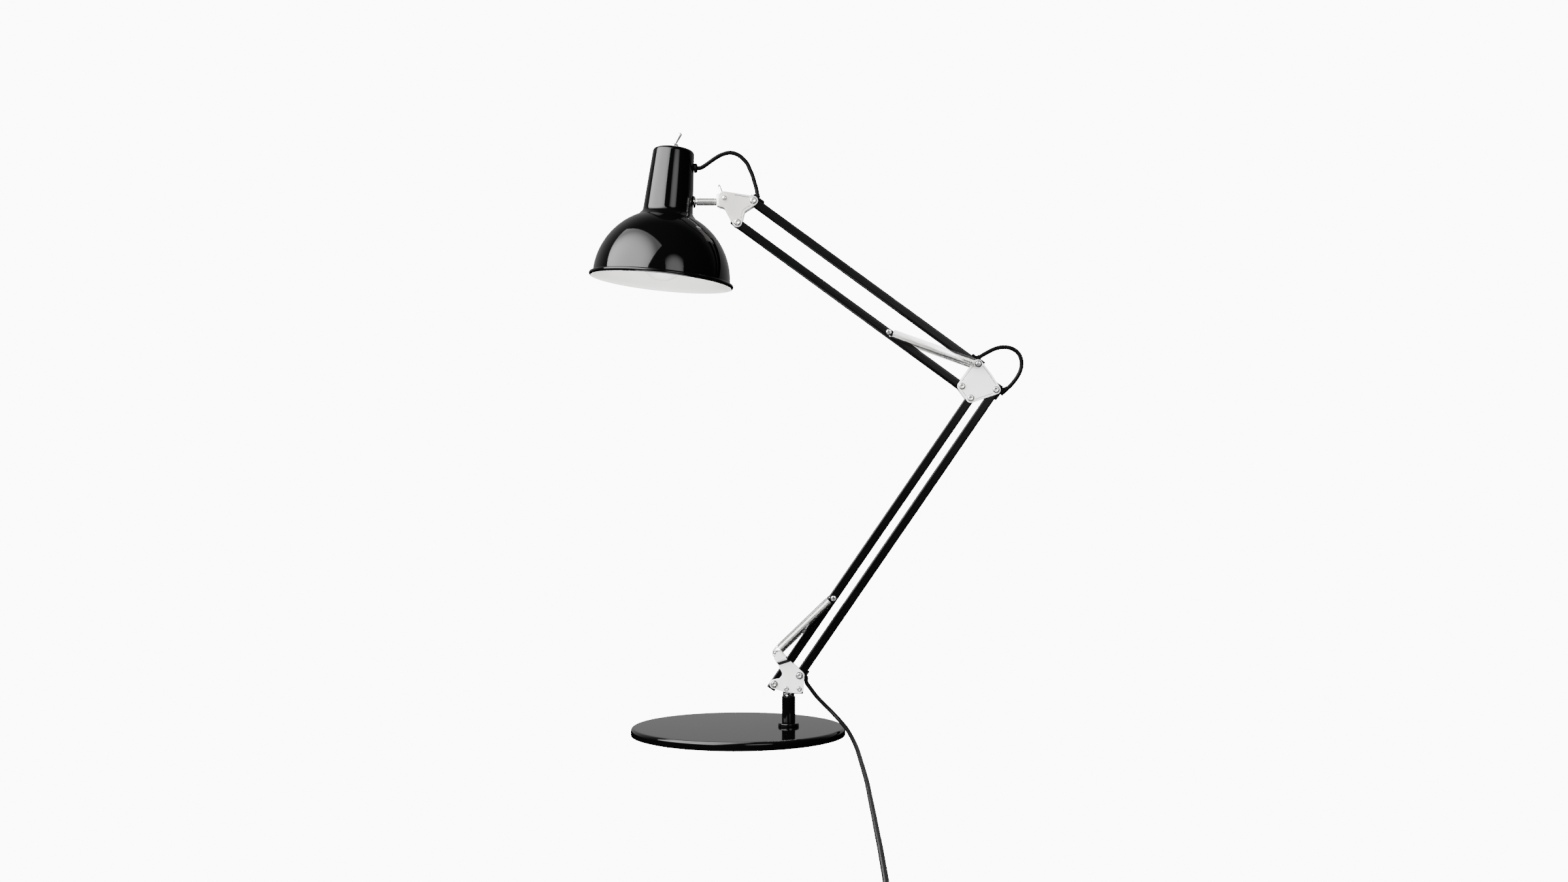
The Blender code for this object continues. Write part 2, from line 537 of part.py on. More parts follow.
def make_head():
    drills = {"a": PIVOT_A, "b": PIVOT_B, "c": PIVOT_C}
    holes = {key: drill("drill_head_" + key, spot, "head_bracket") for key, spot in drills.items()}
    corners = [(-0.0273, 0.7363, 0.0), (-0.0267, 0.7272, 0.0), (-0.0224, 0.7264, 0.0),
               (-0.0185, 0.7247, 0.0), (*PIVOT_C, 0.0065), (0.0093, 0.7200, 0.0), (*PIVOT_B, 0.0065),
               (-0.0198, 0.7480, 0.0), (-0.0258, 0.7452, 0.0)]
    plate("head_plate_front", corners, -1, holes.values(), "head_bracket")
    plate("head_plate_back", corners, 1, holes.values(), "head_bracket")
    pin("head_rivet_top", PIVOT_B, "head_bracket", PLATE_OUTSIDE + GAP)
    pin("head_rivet_bottom", PIVOT_C, "head_bracket", PLATE_OUTSIDE + GAP)
    outside = PLATE_OUTSIDE + GAP
    bolt = [(0.0, outside + 0.0020), (0.0022, outside + 0.0018), (0.0034, outside + 0.0008),
            (0.0034, outside), (PIN_RADIUS, outside), (PIN_RADIUS, -0.0155), (0.0, -0.0155)]
    piece("clamp_bolt", turned(bolt, in_plane(PIVOT_A), (0, -1, 0)), NICKEL, "head_bracket")
    cord("head_cord", HEAD_LOOP, 0.0065, "head_bracket")

    hub = [(HOLE_RADIUS, 0.0140), (0.0046, 0.0140), (0.0052, outside + 0.0005), (0.0052, outside),
           (HOLE_RADIUS, outside)]
    wing_nut = piece("wing_nut", turned(hub, in_plane(PIVOT_A), (0, 1, 0)), NICKEL, "wing_nut")
    wing_lean = math.radians(21.4)
    way = Vector((-math.sin(wing_lean), 0.0, math.cos(wing_lean)))
    for sign, name in ((1, "wing_up"), (-1, "wing_down")):
        middle = in_plane(PIVOT_A, 0.0125) + way * sign * 0.0141
        wing = block((0.0202, 0.0070, 0.0036), middle, way, 0.0008)
        combine(wing_nut, piece(name, wing, NICKEL, "wing_nut"), "UNION")

    knuckle = piece("knuckle_block", block((0.0215, 2 * BLOCK_HALF, 0.0175), (-0.0188, 0.0, 0.7364),
                                           bevel=0.0015), NICKEL, "head_rod")
    combine(knuckle, drill("drill_knuckle", PIVOT_A, "head_rod"), "DIFFERENCE")
    bar = [(0.0, 0.0415), (0.0028, 0.0415), (0.0028, 0.0281), (0.0042, 0.0281), (ROD_RADIUS, 0.0273),
           (ROD_RADIUS, 0.0008), (0.0042, 0.0), (0.0, 0.0)]
    piece("head_bar", turned(bar, (-0.0299, 0.0, ROD_Z), (-1, 0, 0)), CHROME, "head_rod")
    washer = [(0.0031, 0.0034), (0.0060, 0.0034), (0.0085, 0.0012), (0.0085, 0.0004), (0.0060, 0.0),
              (0.0031, 0.0)]
    piece("cup_washer", turned(washer, (-0.0619, 0.0, ROD_Z), (1, 0, 0)), CHROME, "head_rod")
    nut = [(0.0035, 0.0040), (0.0065, 0.0040), (0.0065, 0.0), (0.0035, 0.0)]
    piece("rod_nut", turned(nut, (-0.0695, 0.0, ROD_Z), (1, 0, 0), 6), STEEL, "head_rod")


# Shade ----------------------------------------------------------------------------------------------
def dome_radius(height, shrink=0.0):
    """Radius of the dome at a height above the rim plane."""
    rise = (height - DOME_BASE) / (DOME_HEIGHT - shrink)
    return (DOME_RADIUS - shrink) * math.sqrt(max(0.0, 1.0 - rise * rise))


def shade_profile():
    heights = (0.0060, 0.0190, 0.0330, 0.0470, 0.0600, 0.0715, 0.0805, 0.0870)
    outer = [(0.0948, 0.0042), (0.0975, 0.0048), (0.0995, 0.0036), (0.1000, 0.0015), (0.0985, -0.0004),
             (0.0955, -0.0004), (0.0937, 0.0010)]
    wall = [(dome_radius(height), height) for height in heights]
    fillet = [(0.0378, 0.0925), (0.0352, 0.0960), (0.0343, 0.1000)]
    neck = [(0.0285, NECK_HEIGHT - 0.0010), (0.0268, NECK_HEIGHT + 0.0018), (0.0235, NECK_HEIGHT + 0.0031),
            (0.0140, NECK_HEIGHT + 0.0055), (0.0042, NECK_HEIGHT + 0.0064)]
    inner_neck = [(radius - SHADE_WALL * share, height - SHADE_WALL * (1 - share))
                  for (radius, height), share in zip(neck, (1.0, 0.7, 0.3, 0.0, 0.0))]
    inner_fillet = [(radius - SHADE_WALL, height - 0.0003) for radius, height in fillet]
    inner_wall = [(dome_radius(height, SHADE_WALL), height) for height in heights]
    outside = list(reversed(neck)) + list(reversed(fillet)) + list(reversed(wall)) + outer
    return outside + inner_wall + inner_fillet + inner_neck


def make_shade():
    shell = piece("shade_shell", turned(shade_profile(), SHADE_RIM, SHADE_AXIS, 48), BLACK, "shade")
    rod_hole = rod(0.0034, -0.01, 0.01, (-0.0630, 0.0, ROD_Z), (1, 0, 0), 12)
    combine(shell, piece("rod_hole", rod_hole, STEEL, "shade"), "DIFFERENCE")
    cord_hole = rod(0.0042, -0.01, 0.01, (-0.0620, 0.0, NECK_CORD[2]), (1, 0, 0), 12)
    combine(shell, piece("cord_hole", cord_hole, STEEL, "shade"), "DIFFERENCE")
    grommet = [(0.0, 0.0048), (0.0045, 0.0048), (0.0065, 0.0036), (0.0065, 0.0), (0.0038, 0.0),
               (0.0038, -0.0034), (0.0, -0.0034)]
    piece("neck_grommet", turned(grommet, (NECK_CORD[0] - GAP - 0.0048, 0.0, NECK_CORD[2]), (1, 0, 0)),
          RUBBER, "shade")
    inside_neck = 0.0284
    holder_plate = [(0.0054, 0.1530), (inside_neck, 0.1530), (inside_neck + 0.0001, 0.1515),
                    (0.0054, 0.1515)]
    piece("holder_plate", turned(holder_plate, SHADE_RIM, SHADE_AXIS, 24), STEEL, "shade")
    holder = [(0.0, 0.1565), (0.0050, 0.1565), (0.0050, 0.1511), (0.0180, 0.1511), (0.0200, 0.1485),
              (0.0200, 0.0860), (0.0146, 0.0860), (0.0146, 0.1120), (0.0, 0.1120)]
    piece("lampholder", turned(holder, SHADE_RIM, SHADE_AXIS, 24), PORCELAIN, "shade")
    cap = [(0.0, 0.1060), (0.0060, 0.1060), (0.0129, 0.1030), (0.0129, 0.0805), (0.0119, 0.0805),
           (0.0119, 0.1010), (0.0, 0.1030)]
    piece("bulb_cap", turned(cap, SHADE_RIM, SHADE_AXIS), STEEL, "shade")
    crown = 0.0015
    ball = 0.0300
    angles = [math.radians(step) for step in (0, 18, 36, 54, 72, 90, 108, 124)]
    outer = [(ball * math.sin(angle), crown + ball * (1 - math.cos(angle))) for angle in angles]
    outer += [(0.0190, 0.0600), (0.0145, 0.0710), (0.0116, 0.0800), (0.0116, 0.0840)]
    wall = 0.0012
    inner = [(max(0.0, radius - wall * math.sin(min(angle, math.pi / 2))),
              height + wall * math.cos(min(angle, math.pi / 2)))
             for (radius, height), angle in zip(outer, angles + [math.pi / 2] * 4)]
    inner[-1] = (inner[-1][0], outer[-1][1])
    piece("bulb_glass", turned(outer + list(reversed(inner)), SHADE_RIM, SHADE_AXIS, 24), GLASS, "shade")


def make_toggle():
    top = NECK_HEIGHT + 0.0064
    switch = [(0.0, 0.1845), (0.0032, 0.1845), (0.0032, 0.1912), (0.0038, 0.1912), (0.0038, 0.1830),
              (0.0085, 0.1830), (0.0085, 0.1590), (0.0, 0.1590)]
    piece("toggle_body", turned(switch, SHADE_RIM, SHADE_AXIS), PLASTIC, "shade")
    nut_low = top + GAP
    nut = [(0.0041, nut_low + 0.0034), (0.0056, nut_low + 0.0034), (0.0060, nut_low + 0.0028),
           (0.0060, nut_low), (0.0041, nut_low)]
    piece("toggle_nut", turned(nut, SHADE_RIM, SHADE_AXIS, 12), CHROME, "shade")
    lean = SHADE_TILT + TOGGLE_LEAN
    lever = [(0.0, 0.0198), (0.0016, 0.0195), (0.0026, 0.0183), (0.0027, 0.0168), (0.0020, 0.0060),
             (0.0016, 0.0036), (0.0016, -0.0030), (0.0, -0.0034)]
    way = (math.sin(lean), 0.0, math.cos(lean))
    piece("toggle_lever", turned(lever, on_shade(0.0, TOGGLE_PIVOT), way, 12), CHROME, "toggle_lever")


# Mains lead -----------------------------------------------------------------------------------------
MAINS_ROUTE = [MAINS_START, ahead(MAINS_START, MAINS_WAY), (0.0992, -0.0005, 0.0650),
               (0.1080, -0.0020, 0.0536), (0.1183, -0.0050, 0.0431), (0.1289, -0.0100, 0.0331),
               (0.1385, -0.0205, 0.0238), (0.1469, -0.0400, 0.0158), (0.1526, -0.0640, 0.0085),
               (0.1558, -0.0930, 0.0040),
               (0.1571, -0.1260, CORD_RADIUS), (0.1575, -0.1700, CORD_RADIUS),
               (0.1576, -0.2300, CORD_RADIUS), (0.1577, -0.3000, CORD_RADIUS),
               (0.1575, -0.3800, CORD_RADIUS), (0.1560, -0.4760, CORD_RADIUS),
               (0.1547, -0.5610, CORD_RADIUS), (0.1533, -0.6380, CORD_RADIUS),
               (0.1522, -0.7080, CORD_RADIUS), (0.1508, -0.7720, CORD_RADIUS),
               (0.1495, -0.8300, CORD_RADIUS), (0.1483, -0.8900, CORD_RADIUS),
               (0.1480, -0.9385, CORD_RADIUS)]


def make_mains_lead():
    cord("mains_cord", MAINS_ROUTE, 0.0142, "base")
    low = COIL_MIDDLE_RADIUS - COIL_HALF_WIDTH
    high = COIL_MIDDLE_RADIUS + COIL_HALF_WIDTH
    ring = [(low, COIL_HEIGHT), (high, COIL_HEIGHT), (high, 0.0), (low, 0.0)]
    piece("cord_coil", turned(ring, (*COIL_CENTRE, 0.0), (0, 0, 1), 32), RUBBER, "base")
    middle_y = COIL_CENTRE[1] - COIL_MIDDLE_RADIUS
    middle_z = 0.0072
    plug = piece("plug", block((0.0300, 0.0350, 0.0140), (PLUG_START + 0.0450, middle_y, middle_z),
                               bevel=0.0030), PLASTIC, "base")
    relief = [(0.0, 0.0320), (0.0058, 0.0320), (0.0034, 0.0), (0.0, 0.0)]
    combine(plug, piece("plug_relief", turned(relief, (PLUG_START, middle_y, middle_z), (1, 0, 0), 12),
                        PLASTIC, "base"), "UNION")
    for sign, name in ((-1, "plug_pin_left"), (1, "plug_pin_right")):
        prong = rod(0.0020, -0.002, 0.0190, (PLUG_START + 0.0600, middle_y + sign * 0.0090, middle_z),
                    (1, 0, 0), 12)
        combine(plug, piece(name, prong, NICKEL, "base"), "UNION")


make_base()
make_bracket()
make_lower_arm()
make_elbow()
make_upper_arm()
make_head()
make_shade()
make_toggle()
make_mains_lead()
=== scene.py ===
# %% [markdown]
# # A spring-balanced desk lamp, dressed
# The working model of the lamp is already there: every solid, body and joint. This notebook gives it its
# looks, piece by piece. It never moves a joint. A finer mesh takes the place of a plain solid and rides on
# the same body.

# %% Load the working frame
import json
import math

import bmesh
import bpy
import numpy
from mathutils import Matrix, Vector
from mathutils.geometry import delaunay_2d_cdt


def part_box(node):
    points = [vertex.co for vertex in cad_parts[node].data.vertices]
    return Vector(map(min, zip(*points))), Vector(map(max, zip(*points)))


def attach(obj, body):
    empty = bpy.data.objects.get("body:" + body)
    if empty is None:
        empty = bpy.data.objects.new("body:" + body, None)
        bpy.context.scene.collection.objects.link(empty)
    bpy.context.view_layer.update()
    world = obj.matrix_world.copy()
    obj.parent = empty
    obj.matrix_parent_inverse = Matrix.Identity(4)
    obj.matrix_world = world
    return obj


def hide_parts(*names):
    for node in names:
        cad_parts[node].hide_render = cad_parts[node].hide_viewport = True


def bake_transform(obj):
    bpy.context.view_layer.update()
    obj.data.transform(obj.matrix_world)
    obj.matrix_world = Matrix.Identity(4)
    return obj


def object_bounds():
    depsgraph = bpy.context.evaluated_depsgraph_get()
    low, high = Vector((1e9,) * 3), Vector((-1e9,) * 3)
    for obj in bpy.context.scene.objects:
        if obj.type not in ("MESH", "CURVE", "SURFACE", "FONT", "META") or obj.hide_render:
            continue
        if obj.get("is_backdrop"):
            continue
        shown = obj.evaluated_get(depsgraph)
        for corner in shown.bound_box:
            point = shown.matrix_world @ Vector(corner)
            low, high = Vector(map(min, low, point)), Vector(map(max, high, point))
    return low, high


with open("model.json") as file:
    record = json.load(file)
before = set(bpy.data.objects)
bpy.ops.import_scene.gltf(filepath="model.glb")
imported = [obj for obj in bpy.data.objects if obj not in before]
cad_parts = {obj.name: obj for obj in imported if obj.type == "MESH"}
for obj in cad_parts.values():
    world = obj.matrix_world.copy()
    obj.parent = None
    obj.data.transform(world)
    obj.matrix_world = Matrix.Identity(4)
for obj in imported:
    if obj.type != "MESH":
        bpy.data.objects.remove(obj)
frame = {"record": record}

cad_box = [list(map(float, corner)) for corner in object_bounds()]

# %% [markdown]
# The places of the joints drive everything: each one's point is read from the record, so that a plate's
# lobe, a washer and a tube end all sit on the real pivot.

# %% Pivots and small helpers
joint_at = {joint["name"]: Vector(joint["pos_m"]) for joint in frame["record"]["behaviour"]["joints"]}
point_h = joint_at["lower_link_lift"]
point_i = joint_at["lower_arm_lift"]
point_g = joint_at["elbow_level"]
point_d = joint_at["upper_arm_lift"]
point_e = joint_at["upper_link_lift"]
point_b = joint_at["head_level"]
point_a = joint_at["head_tilt"]
point_t = joint_at["toggle_flip"]
point_f = point_h + point_g - point_i
point_c = point_e + point_b - point_d
print("lower arm", round((point_g - point_i).length, 4), "upper arm", round((point_b - point_d).length, 4))

# %% [markdown]
# ## Camera
# A level camera in front of the arms, at the height of the lower arm, with a moderate lens. The small
# upward shift frames the shade and the lead without tipping the verticals.

# %% Camera
camera_data = bpy.data.cameras.new("camera")
camera_data.lens = 36.5
camera_data.sensor_width = 36.0
camera_data.shift_y = 0.03625
camera = bpy.data.objects.new("camera", camera_data)
camera.location = (0.063, -2.190, 0.327)
camera.rotation_euler = (math.radians(90), 0.0, 0.0)
bpy.context.scene.collection.objects.link(camera)
bpy.context.scene.camera = camera

# %% [markdown]
# ## Finishes
# A node group would hide the values that the shader needs directly, so each finish is a plain material:
# a Principled shader, with one or two noises on Object coordinates that vary its roughness or its bump.

# %% Material helpers
def finish(name, colour, roughness, metallic=0.0, **sockets):
    """A new material with its even values set on the shader itself."""
    made = bpy.data.materials.new(name)
    made.use_nodes = True
    shader = made.node_tree.nodes["Principled BSDF"]
    shader.inputs["Base Color"].default_value = (*colour, 1.0)
    shader.inputs["Roughness"].default_value = roughness
    shader.inputs["Metallic"].default_value = metallic
    for label, value in sockets.items():
        shader.inputs[label.replace("_", " ")].default_value = value
    return made, made.node_tree.nodes, made.node_tree.links, shader


def noise(nodes, links, scale, detail=3.0, stretch=(1, 1, 1), turn=(0, 0, 0)):
    """A noise on the piece's Object coordinates, stretched and turned by a Mapping node."""
    coordinates = nodes.new("ShaderNodeTexCoord")
    mapping = nodes.new("ShaderNodeMapping")
    mapping.inputs["Scale"].default_value = stretch
    mapping.inputs["Rotation"].default_value = turn
    texture = nodes.new("ShaderNodeTexNoise")
    texture.inputs["Scale"].default_value = scale
    texture.inputs["Detail"].default_value = detail
    links.new(coordinates.outputs["Object"], mapping.inputs["Vector"])
    links.new(mapping.outputs["Vector"], texture.inputs["Vector"])
    return texture.outputs["Fac"]


def spread(nodes, links, source, low, high):
    """Map a 0..1 pattern to a range of values."""
    ranged = nodes.new("ShaderNodeMapRange")
    ranged.inputs["To Min"].default_value = low
    ranged.inputs["To Max"].default_value = high
    links.new(source, ranged.inputs["Value"])
    return ranged.outputs["Result"]


def relief(nodes, links, shader, source, strength, distance):
    """Feed a pattern to the shader as a fine bump."""
    bump = nodes.new("ShaderNodeBump")
    bump.inputs["Strength"].default_value = strength
    bump.inputs["Distance"].default_value = distance
    links.new(source, bump.inputs["Height"])
    links.new(bump.outputs["Normal"], shader.inputs["Normal"])


def tint(nodes, links, shader, source, dark, light):
    """Vary the base colour between two shades with a pattern."""
    ramp = nodes.new("ShaderNodeValToRGB")
    ramp.color_ramp.elements[0].color = (*dark, 1.0)
    ramp.color_ramp.elements[1].color = (*light, 1.0)
    ramp.color_ramp.elements[0].position = 0.30
    ramp.color_ramp.elements[1].position = 0.70
    links.new(source, ramp.inputs["Fac"])
    links.new(ramp.outputs["Color"], shader.inputs["Base Color"])


# %% [markdown]
# Black enamel: the shade, stem and base are sprayed and baked. The lacquer is glossy, yet close up it has
# a slight orange peel and faint polishing marks, which is what breaks up the reflections at their edges.

# %% Gloss black enamel
gloss_black, nodes, links, shader = finish("gloss black enamel", (0.0008, 0.0008, 0.0009), 0.05,
                                           Specular_IOR_Level=0.22)
peel = noise(nodes, links, 420, 2.0)
relief(nodes, links, shader, peel, 0.05, 0.0002)
haze = noise(nodes, links, 26, 4.0)
links.new(spread(nodes, links, haze, 0.035, 0.075), shader.inputs["Roughness"])

# %% [markdown]
# The square tubes are powder coated: the same black, but satin, with a finer and deeper grain.

# %% Satin black powder coat
satin_black, nodes, links, shader = finish("satin black powder coat", (0.0008, 0.0008, 0.0009), 0.24,
                                           Specular_IOR_Level=0.14)
grain = noise(nodes, links, 1500, 3.0)
relief(nodes, links, shader, grain, 0.10, 0.0001)
rub = noise(nodes, links, 34, 5.0)
links.new(spread(nodes, links, rub, 0.20, 0.30), shader.inputs["Roughness"])

# %% [markdown]
# The joint plates are pressed steel, nickel plated. Rolling leaves a long faint grain in the sheet, and
# handling leaves cloudy patches, so two noises are used: a stretched one for the grain, a soft one for haze.

# %% Nickel plate
def nickel_finish(name, colour, rough_low, rough_high, metal=1.0):
    made, nodes, links, shader = finish(name, colour, 0.3, metal)
    haze = noise(nodes, links, 45, 4.0)
    links.new(spread(nodes, links, haze, rough_low, rough_high), shader.inputs["Roughness"])
    rolled = noise(nodes, links, 900, 2.0, (1.0, 1.0, 0.04))
    relief(nodes, links, shader, rolled, 0.04, 0.0001)
    tint(nodes, links, shader, haze, tuple(0.93 * c for c in colour), colour)
    return made


nickel = nickel_finish("nickel plate", (0.93, 0.92, 0.905), 0.36, 0.46, 0.45)
# The head's plates are the same nickel as the others, painted darker as shade.
head_nickel_painted_shade = nickel_finish("nickel plate of the head with painted shade", (0.56, 0.545, 0.525), 0.36, 0.46, 0.60)
rivet_nickel = nickel_finish("nickel rivet", (0.84, 0.83, 0.81), 0.18, 0.28, 0.9)

# %% [markdown]
# Chrome and spring wire are brighter. The wire is drawn through a die, so its grain runs along it; at this
# size a fine noise in its roughness is enough.

# %% Chrome, wire and plain steel
def bright_finish(name, colour, rough_low, rough_high, scale):
    made, nodes, links, shader = finish(name, colour, 0.1, 1.0)
    scuff = noise(nodes, links, scale, 4.0)
    links.new(spread(nodes, links, scuff, rough_low, rough_high), shader.inputs["Roughness"])
    relief(nodes, links, shader, scuff, 0.03, 0.0001)
    return made


chrome = bright_finish("polished chrome", (0.86, 0.86, 0.86), 0.05, 0.12, 120)
spring_wire = bright_finish("drawn spring wire", (0.78, 0.77, 0.75), 0.16, 0.28, 600)
plain_steel = bright_finish("zinc plated steel", (0.62, 0.62, 0.60), 0.28, 0.42, 260)

# %% [markdown]
# The flex has a smooth PVC sheath, the grommets are moulded rubber, the plug is a hard plastic. All three
# are black, and only their gloss and their grain tell them apart.

# %% Rubber and plastics
def moulded_finish(name, colour, rough_low, rough_high, scale, depth, specular=0.06):
    made, nodes, links, shader = finish(name, colour, 0.4, Specular_IOR_Level=specular)
    grain = noise(nodes, links, scale, 3.0)
    relief(nodes, links, shader, grain, depth, 0.0001)
    cloud = noise(nodes, links, 60, 3.0)
    links.new(spread(nodes, links, cloud, rough_low, rough_high), shader.inputs["Roughness"])
    return made


flex_black = moulded_finish("flex sheath", (0.0012, 0.0012, 0.0013), 0.34, 0.46, 900, 0.06)
rubber_black = moulded_finish("moulded rubber", (0.0016, 0.0016, 0.0017), 0.45, 0.60, 1400, 0.15)
plastic_black = moulded_finish("moulded plastic", (0.0025, 0.0025, 0.0027), 0.28, 0.38, 1100, 0.10)
# Painted shade: a dark stand-in for the shade that gathers in bends, pressed lines, rims, recesses and hooks.
# It isn't a real coating.
shaded_metal = moulded_finish("painted shade of bends and rims", (0.004, 0.004, 0.004), 0.50, 0.60, 420, 0.03,
                              0.04)
foot_rubber = moulded_finish("ribbed foot rubber", (0.0060, 0.0060, 0.0060), 0.80, 0.92, 700, 0.30)

# %% [markdown]
# Inside, the shade is sprayed matt white to throw the light out. The lampholder is white too, and glazed.
# The bulb is etched glass: milky, with a soft gloss.

# %% White paint, glaze and etched glass
def white_finish(name, colour, rough_low, rough_high, depth, **sockets):
    made, nodes, links, shader = finish(name, colour, rough_high, **sockets)
    mist = noise(nodes, links, 55, 4.0)
    links.new(spread(nodes, links, mist, rough_low, rough_high), shader.inputs["Roughness"])
    relief(nodes, links, shader, noise(nodes, links, 700, 2.0), depth, 0.0001)
    tint(nodes, links, shader, mist, tuple(0.965 * c for c in colour), colour)
    return made


white_paint = white_finish("matt white paint", (0.80, 0.79, 0.77), 0.50, 0.62, 0.08)
white_glaze = white_finish("white glaze", (0.78, 0.77, 0.74), 0.18, 0.26, 0.02)
etched_glass = white_finish("etched bulb glass", (0.74, 0.74, 0.72), 0.30, 0.40, 0.05,
                            Subsurface_Weight=0.15, Subsurface_Scale=0.01)

# %% [markdown]
# ## Making pieces
# Most of this lamp is turned, pressed or bent from wire, so three makers cover it: a profile spun about an
# axis, a flat outline given a thickness, and a wire drawn along a route.

# %% Store a finished mesh on a body
def keep(name, bm, materials, owner, nodes=(), angle=32):
    """Turn a bmesh into a piece that rides on a body and stands for its plain solids."""
    mesh = bpy.data.meshes.new(name)
    bm.to_mesh(mesh)
    bm.free()
    for made in materials if isinstance(materials, (list, tuple)) else [materials]:
        mesh.materials.append(made)
    mesh.shade_smooth()
    mesh.set_sharp_from_angle(angle=math.radians(angle))
    obj = bpy.data.objects.new(name, mesh)
    bpy.context.scene.collection.objects.link(obj)
    if owner:
        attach(obj, owner)
    if nodes:
        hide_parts(*([nodes] if isinstance(nodes, str) else nodes))
    return obj


# %% Arcs and turned shapes
def arc(radius, height, bend, start, stop, steps=6):
    """Points of a rounded corner: centre, bend radius and two angles, in degrees."""
    angles = [math.radians(start + (stop - start) * step / steps) for step in range(steps + 1)]
    return [(radius + bend * math.cos(angle), height + bend * math.sin(angle)) for angle in angles]


def turn(profile, origin, direction, steps=64):
    """Spin (radius, height) points about an axis; a profile that clears the axis closes into a ring."""
    bm = bmesh.new()
    points = [bm.verts.new((radius, 0.0, height)) for radius, height in profile]
    edges = [bm.edges.new(pair) for pair in zip(points, points[1:])]
    if profile[0][0] > 1e-7:
        edges.append(bm.edges.new((points[-1], points[0])))
    bmesh.ops.spin(bm, geom=points + edges, cent=(0, 0, 0), axis=(0, 0, 1), angle=2 * math.pi,
                   steps=steps, use_merge=True)
    bmesh.ops.remove_doubles(bm, verts=bm.verts, dist=1e-7)
    bmesh.ops.recalc_face_normals(bm, faces=bm.faces)
    place(bm, origin, direction)
    return bm


def place(bm, origin, direction):
    """Stand a shape drawn about +Z on a point, along a direction."""
    aim = Vector(direction).to_track_quat("Z", "Y").to_matrix().to_4x4()
    bm.transform(Matrix.Translation(Vector(origin)) @ aim)


def join(*shapes):
    """Put several closed shapes of one piece into one bmesh."""
    together = bmesh.new()
    for shape in shapes:
        scratch = bpy.data.meshes.new("scratch")
        shape.to_mesh(scratch)
        shape.free()
        together.from_mesh(scratch)
        bpy.data.meshes.remove(scratch)
    return together


# %% Routes and wires
def smooth_route(points, spacing):
    """Evenly spaced points on a Catmull-Rom curve through a given route."""
    knots = [Vector(point) for point in points]
    ends = [2 * knots[0] - knots[1]] + knots + [2 * knots[-1] - knots[-2]]
    fine = []
    for a, b, c, d in zip(ends, ends[1:], ends[2:], ends[3:]):
        for step in range(24):
            t = step / 24
            fine.append(0.5 * (2 * b + (c - a) * t + (2 * a - 5 * b + 4 * c - d) * t ** 2
                               + (3 * b - a - 3 * c + d) * t ** 3))
    fine.append(knots[-1])
    reach = [0.0]
    for here, there in zip(fine, fine[1:]):
        reach.append(reach[-1] + (there - here).length)
    count = max(2, round(reach[-1] / spacing))
    route, index = [], 0
    for step in range(count + 1):
        target = reach[-1] * step / count
        while index < len(fine) - 2 and reach[index + 1] < target:
            index += 1
        share = (target - reach[index]) / (reach[index + 1] - reach[index])
        route.append(fine[index].lerp(fine[index + 1], share))
    return route


def route_length(route):
    return sum((there - here).length for here, there in zip(route, route[1:]))


def drawn_wire(route, radius, resolution=4):
    """A round wire or flex along a route, as a closed mesh in a bmesh."""
    curve = bpy.data.curves.new("wire", "CURVE")
    curve.dimensions = "3D"
    curve.bevel_depth = radius
    curve.bevel_resolution = resolution
    curve.use_fill_caps = True
    spline = curve.splines.new("POLY")
    spline.points.add(len(route) - 1)
    for knot, point in zip(spline.points, route):
        knot.co = (*point, 1.0)
    carrier = bpy.data.objects.new("wire", curve)
    bpy.context.scene.collection.objects.link(carrier)
    drawn = bpy.data.meshes.new_from_object(carrier.evaluated_get(bpy.context.evaluated_depsgraph_get()))
    bpy.data.objects.remove(carrier, do_unlink=True)
    bm = bmesh.new()
    bm.from_mesh(drawn)
    bpy.data.meshes.remove(drawn)
    bmesh.ops.remove_doubles(bm, verts=bm.verts, dist=1e-7)
    bmesh.ops.recalc_face_normals(bm, faces=bm.faces)
    return bm


# %% [markdown]
# ## Cords first
# One flex runs through the whole lamp. It shows in three places: the lead from the foot of the arm to the
# plug, a loop at the elbow and a loop at the head. A joint can only bend a mesh between two bodies, so each
# is cut in lengths where it is steady on the body between two joints. The lead drops from its grommet, curves
# over the edge of the base onto the table and runs forward; what is left of it is put away in a coil with the
# plug beside.

# %% Flex routes
flex_radius = 0.0029
mains_start = Vector((0.0934, 0.0, 0.0758))
mains_way = Vector((0.20, 0.0, -1.0)).normalized()
table = flex_radius
mains_route = [mains_start - mains_way * 0.0040, mains_start, mains_start + mains_way * 0.0040,
               (0.0992, -0.0005, 0.0650), (0.1080, -0.0020, 0.0536), (0.1183, -0.0050, 0.0431),
               (0.1289, -0.0100, 0.0331), (0.1385, -0.0205, 0.0238), (0.1469, -0.0400, 0.0158),
               (0.1526, -0.0640, 0.0085), (0.1558, -0.0930, 0.0040), (0.1571, -0.1260, table),
               (0.1575, -0.1700, table), (0.1576, -0.2300, table), (0.1577, -0.3000, table),
               (0.1575, -0.3800, table), (0.1560, -0.4760, table), (0.1547, -0.5610, table),
               (0.1533, -0.6380, table), (0.1522, -0.7080, table), (0.1508, -0.7720, table),
               (0.1495, -0.8300, table), (0.1478, -0.8900, table), (0.1456, -0.9350, table)]
coil_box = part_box("cord_coil")
coil_centre = (Vector(coil_box[0]) + Vector(coil_box[1])) / 2
outer_lane = 0.0349
inner_lane = outer_lane - 2 * flex_radius
lanes = [(outer_lane, table), (inner_lane, table), (inner_lane, 3 * table), (outer_lane, 3 * table)]


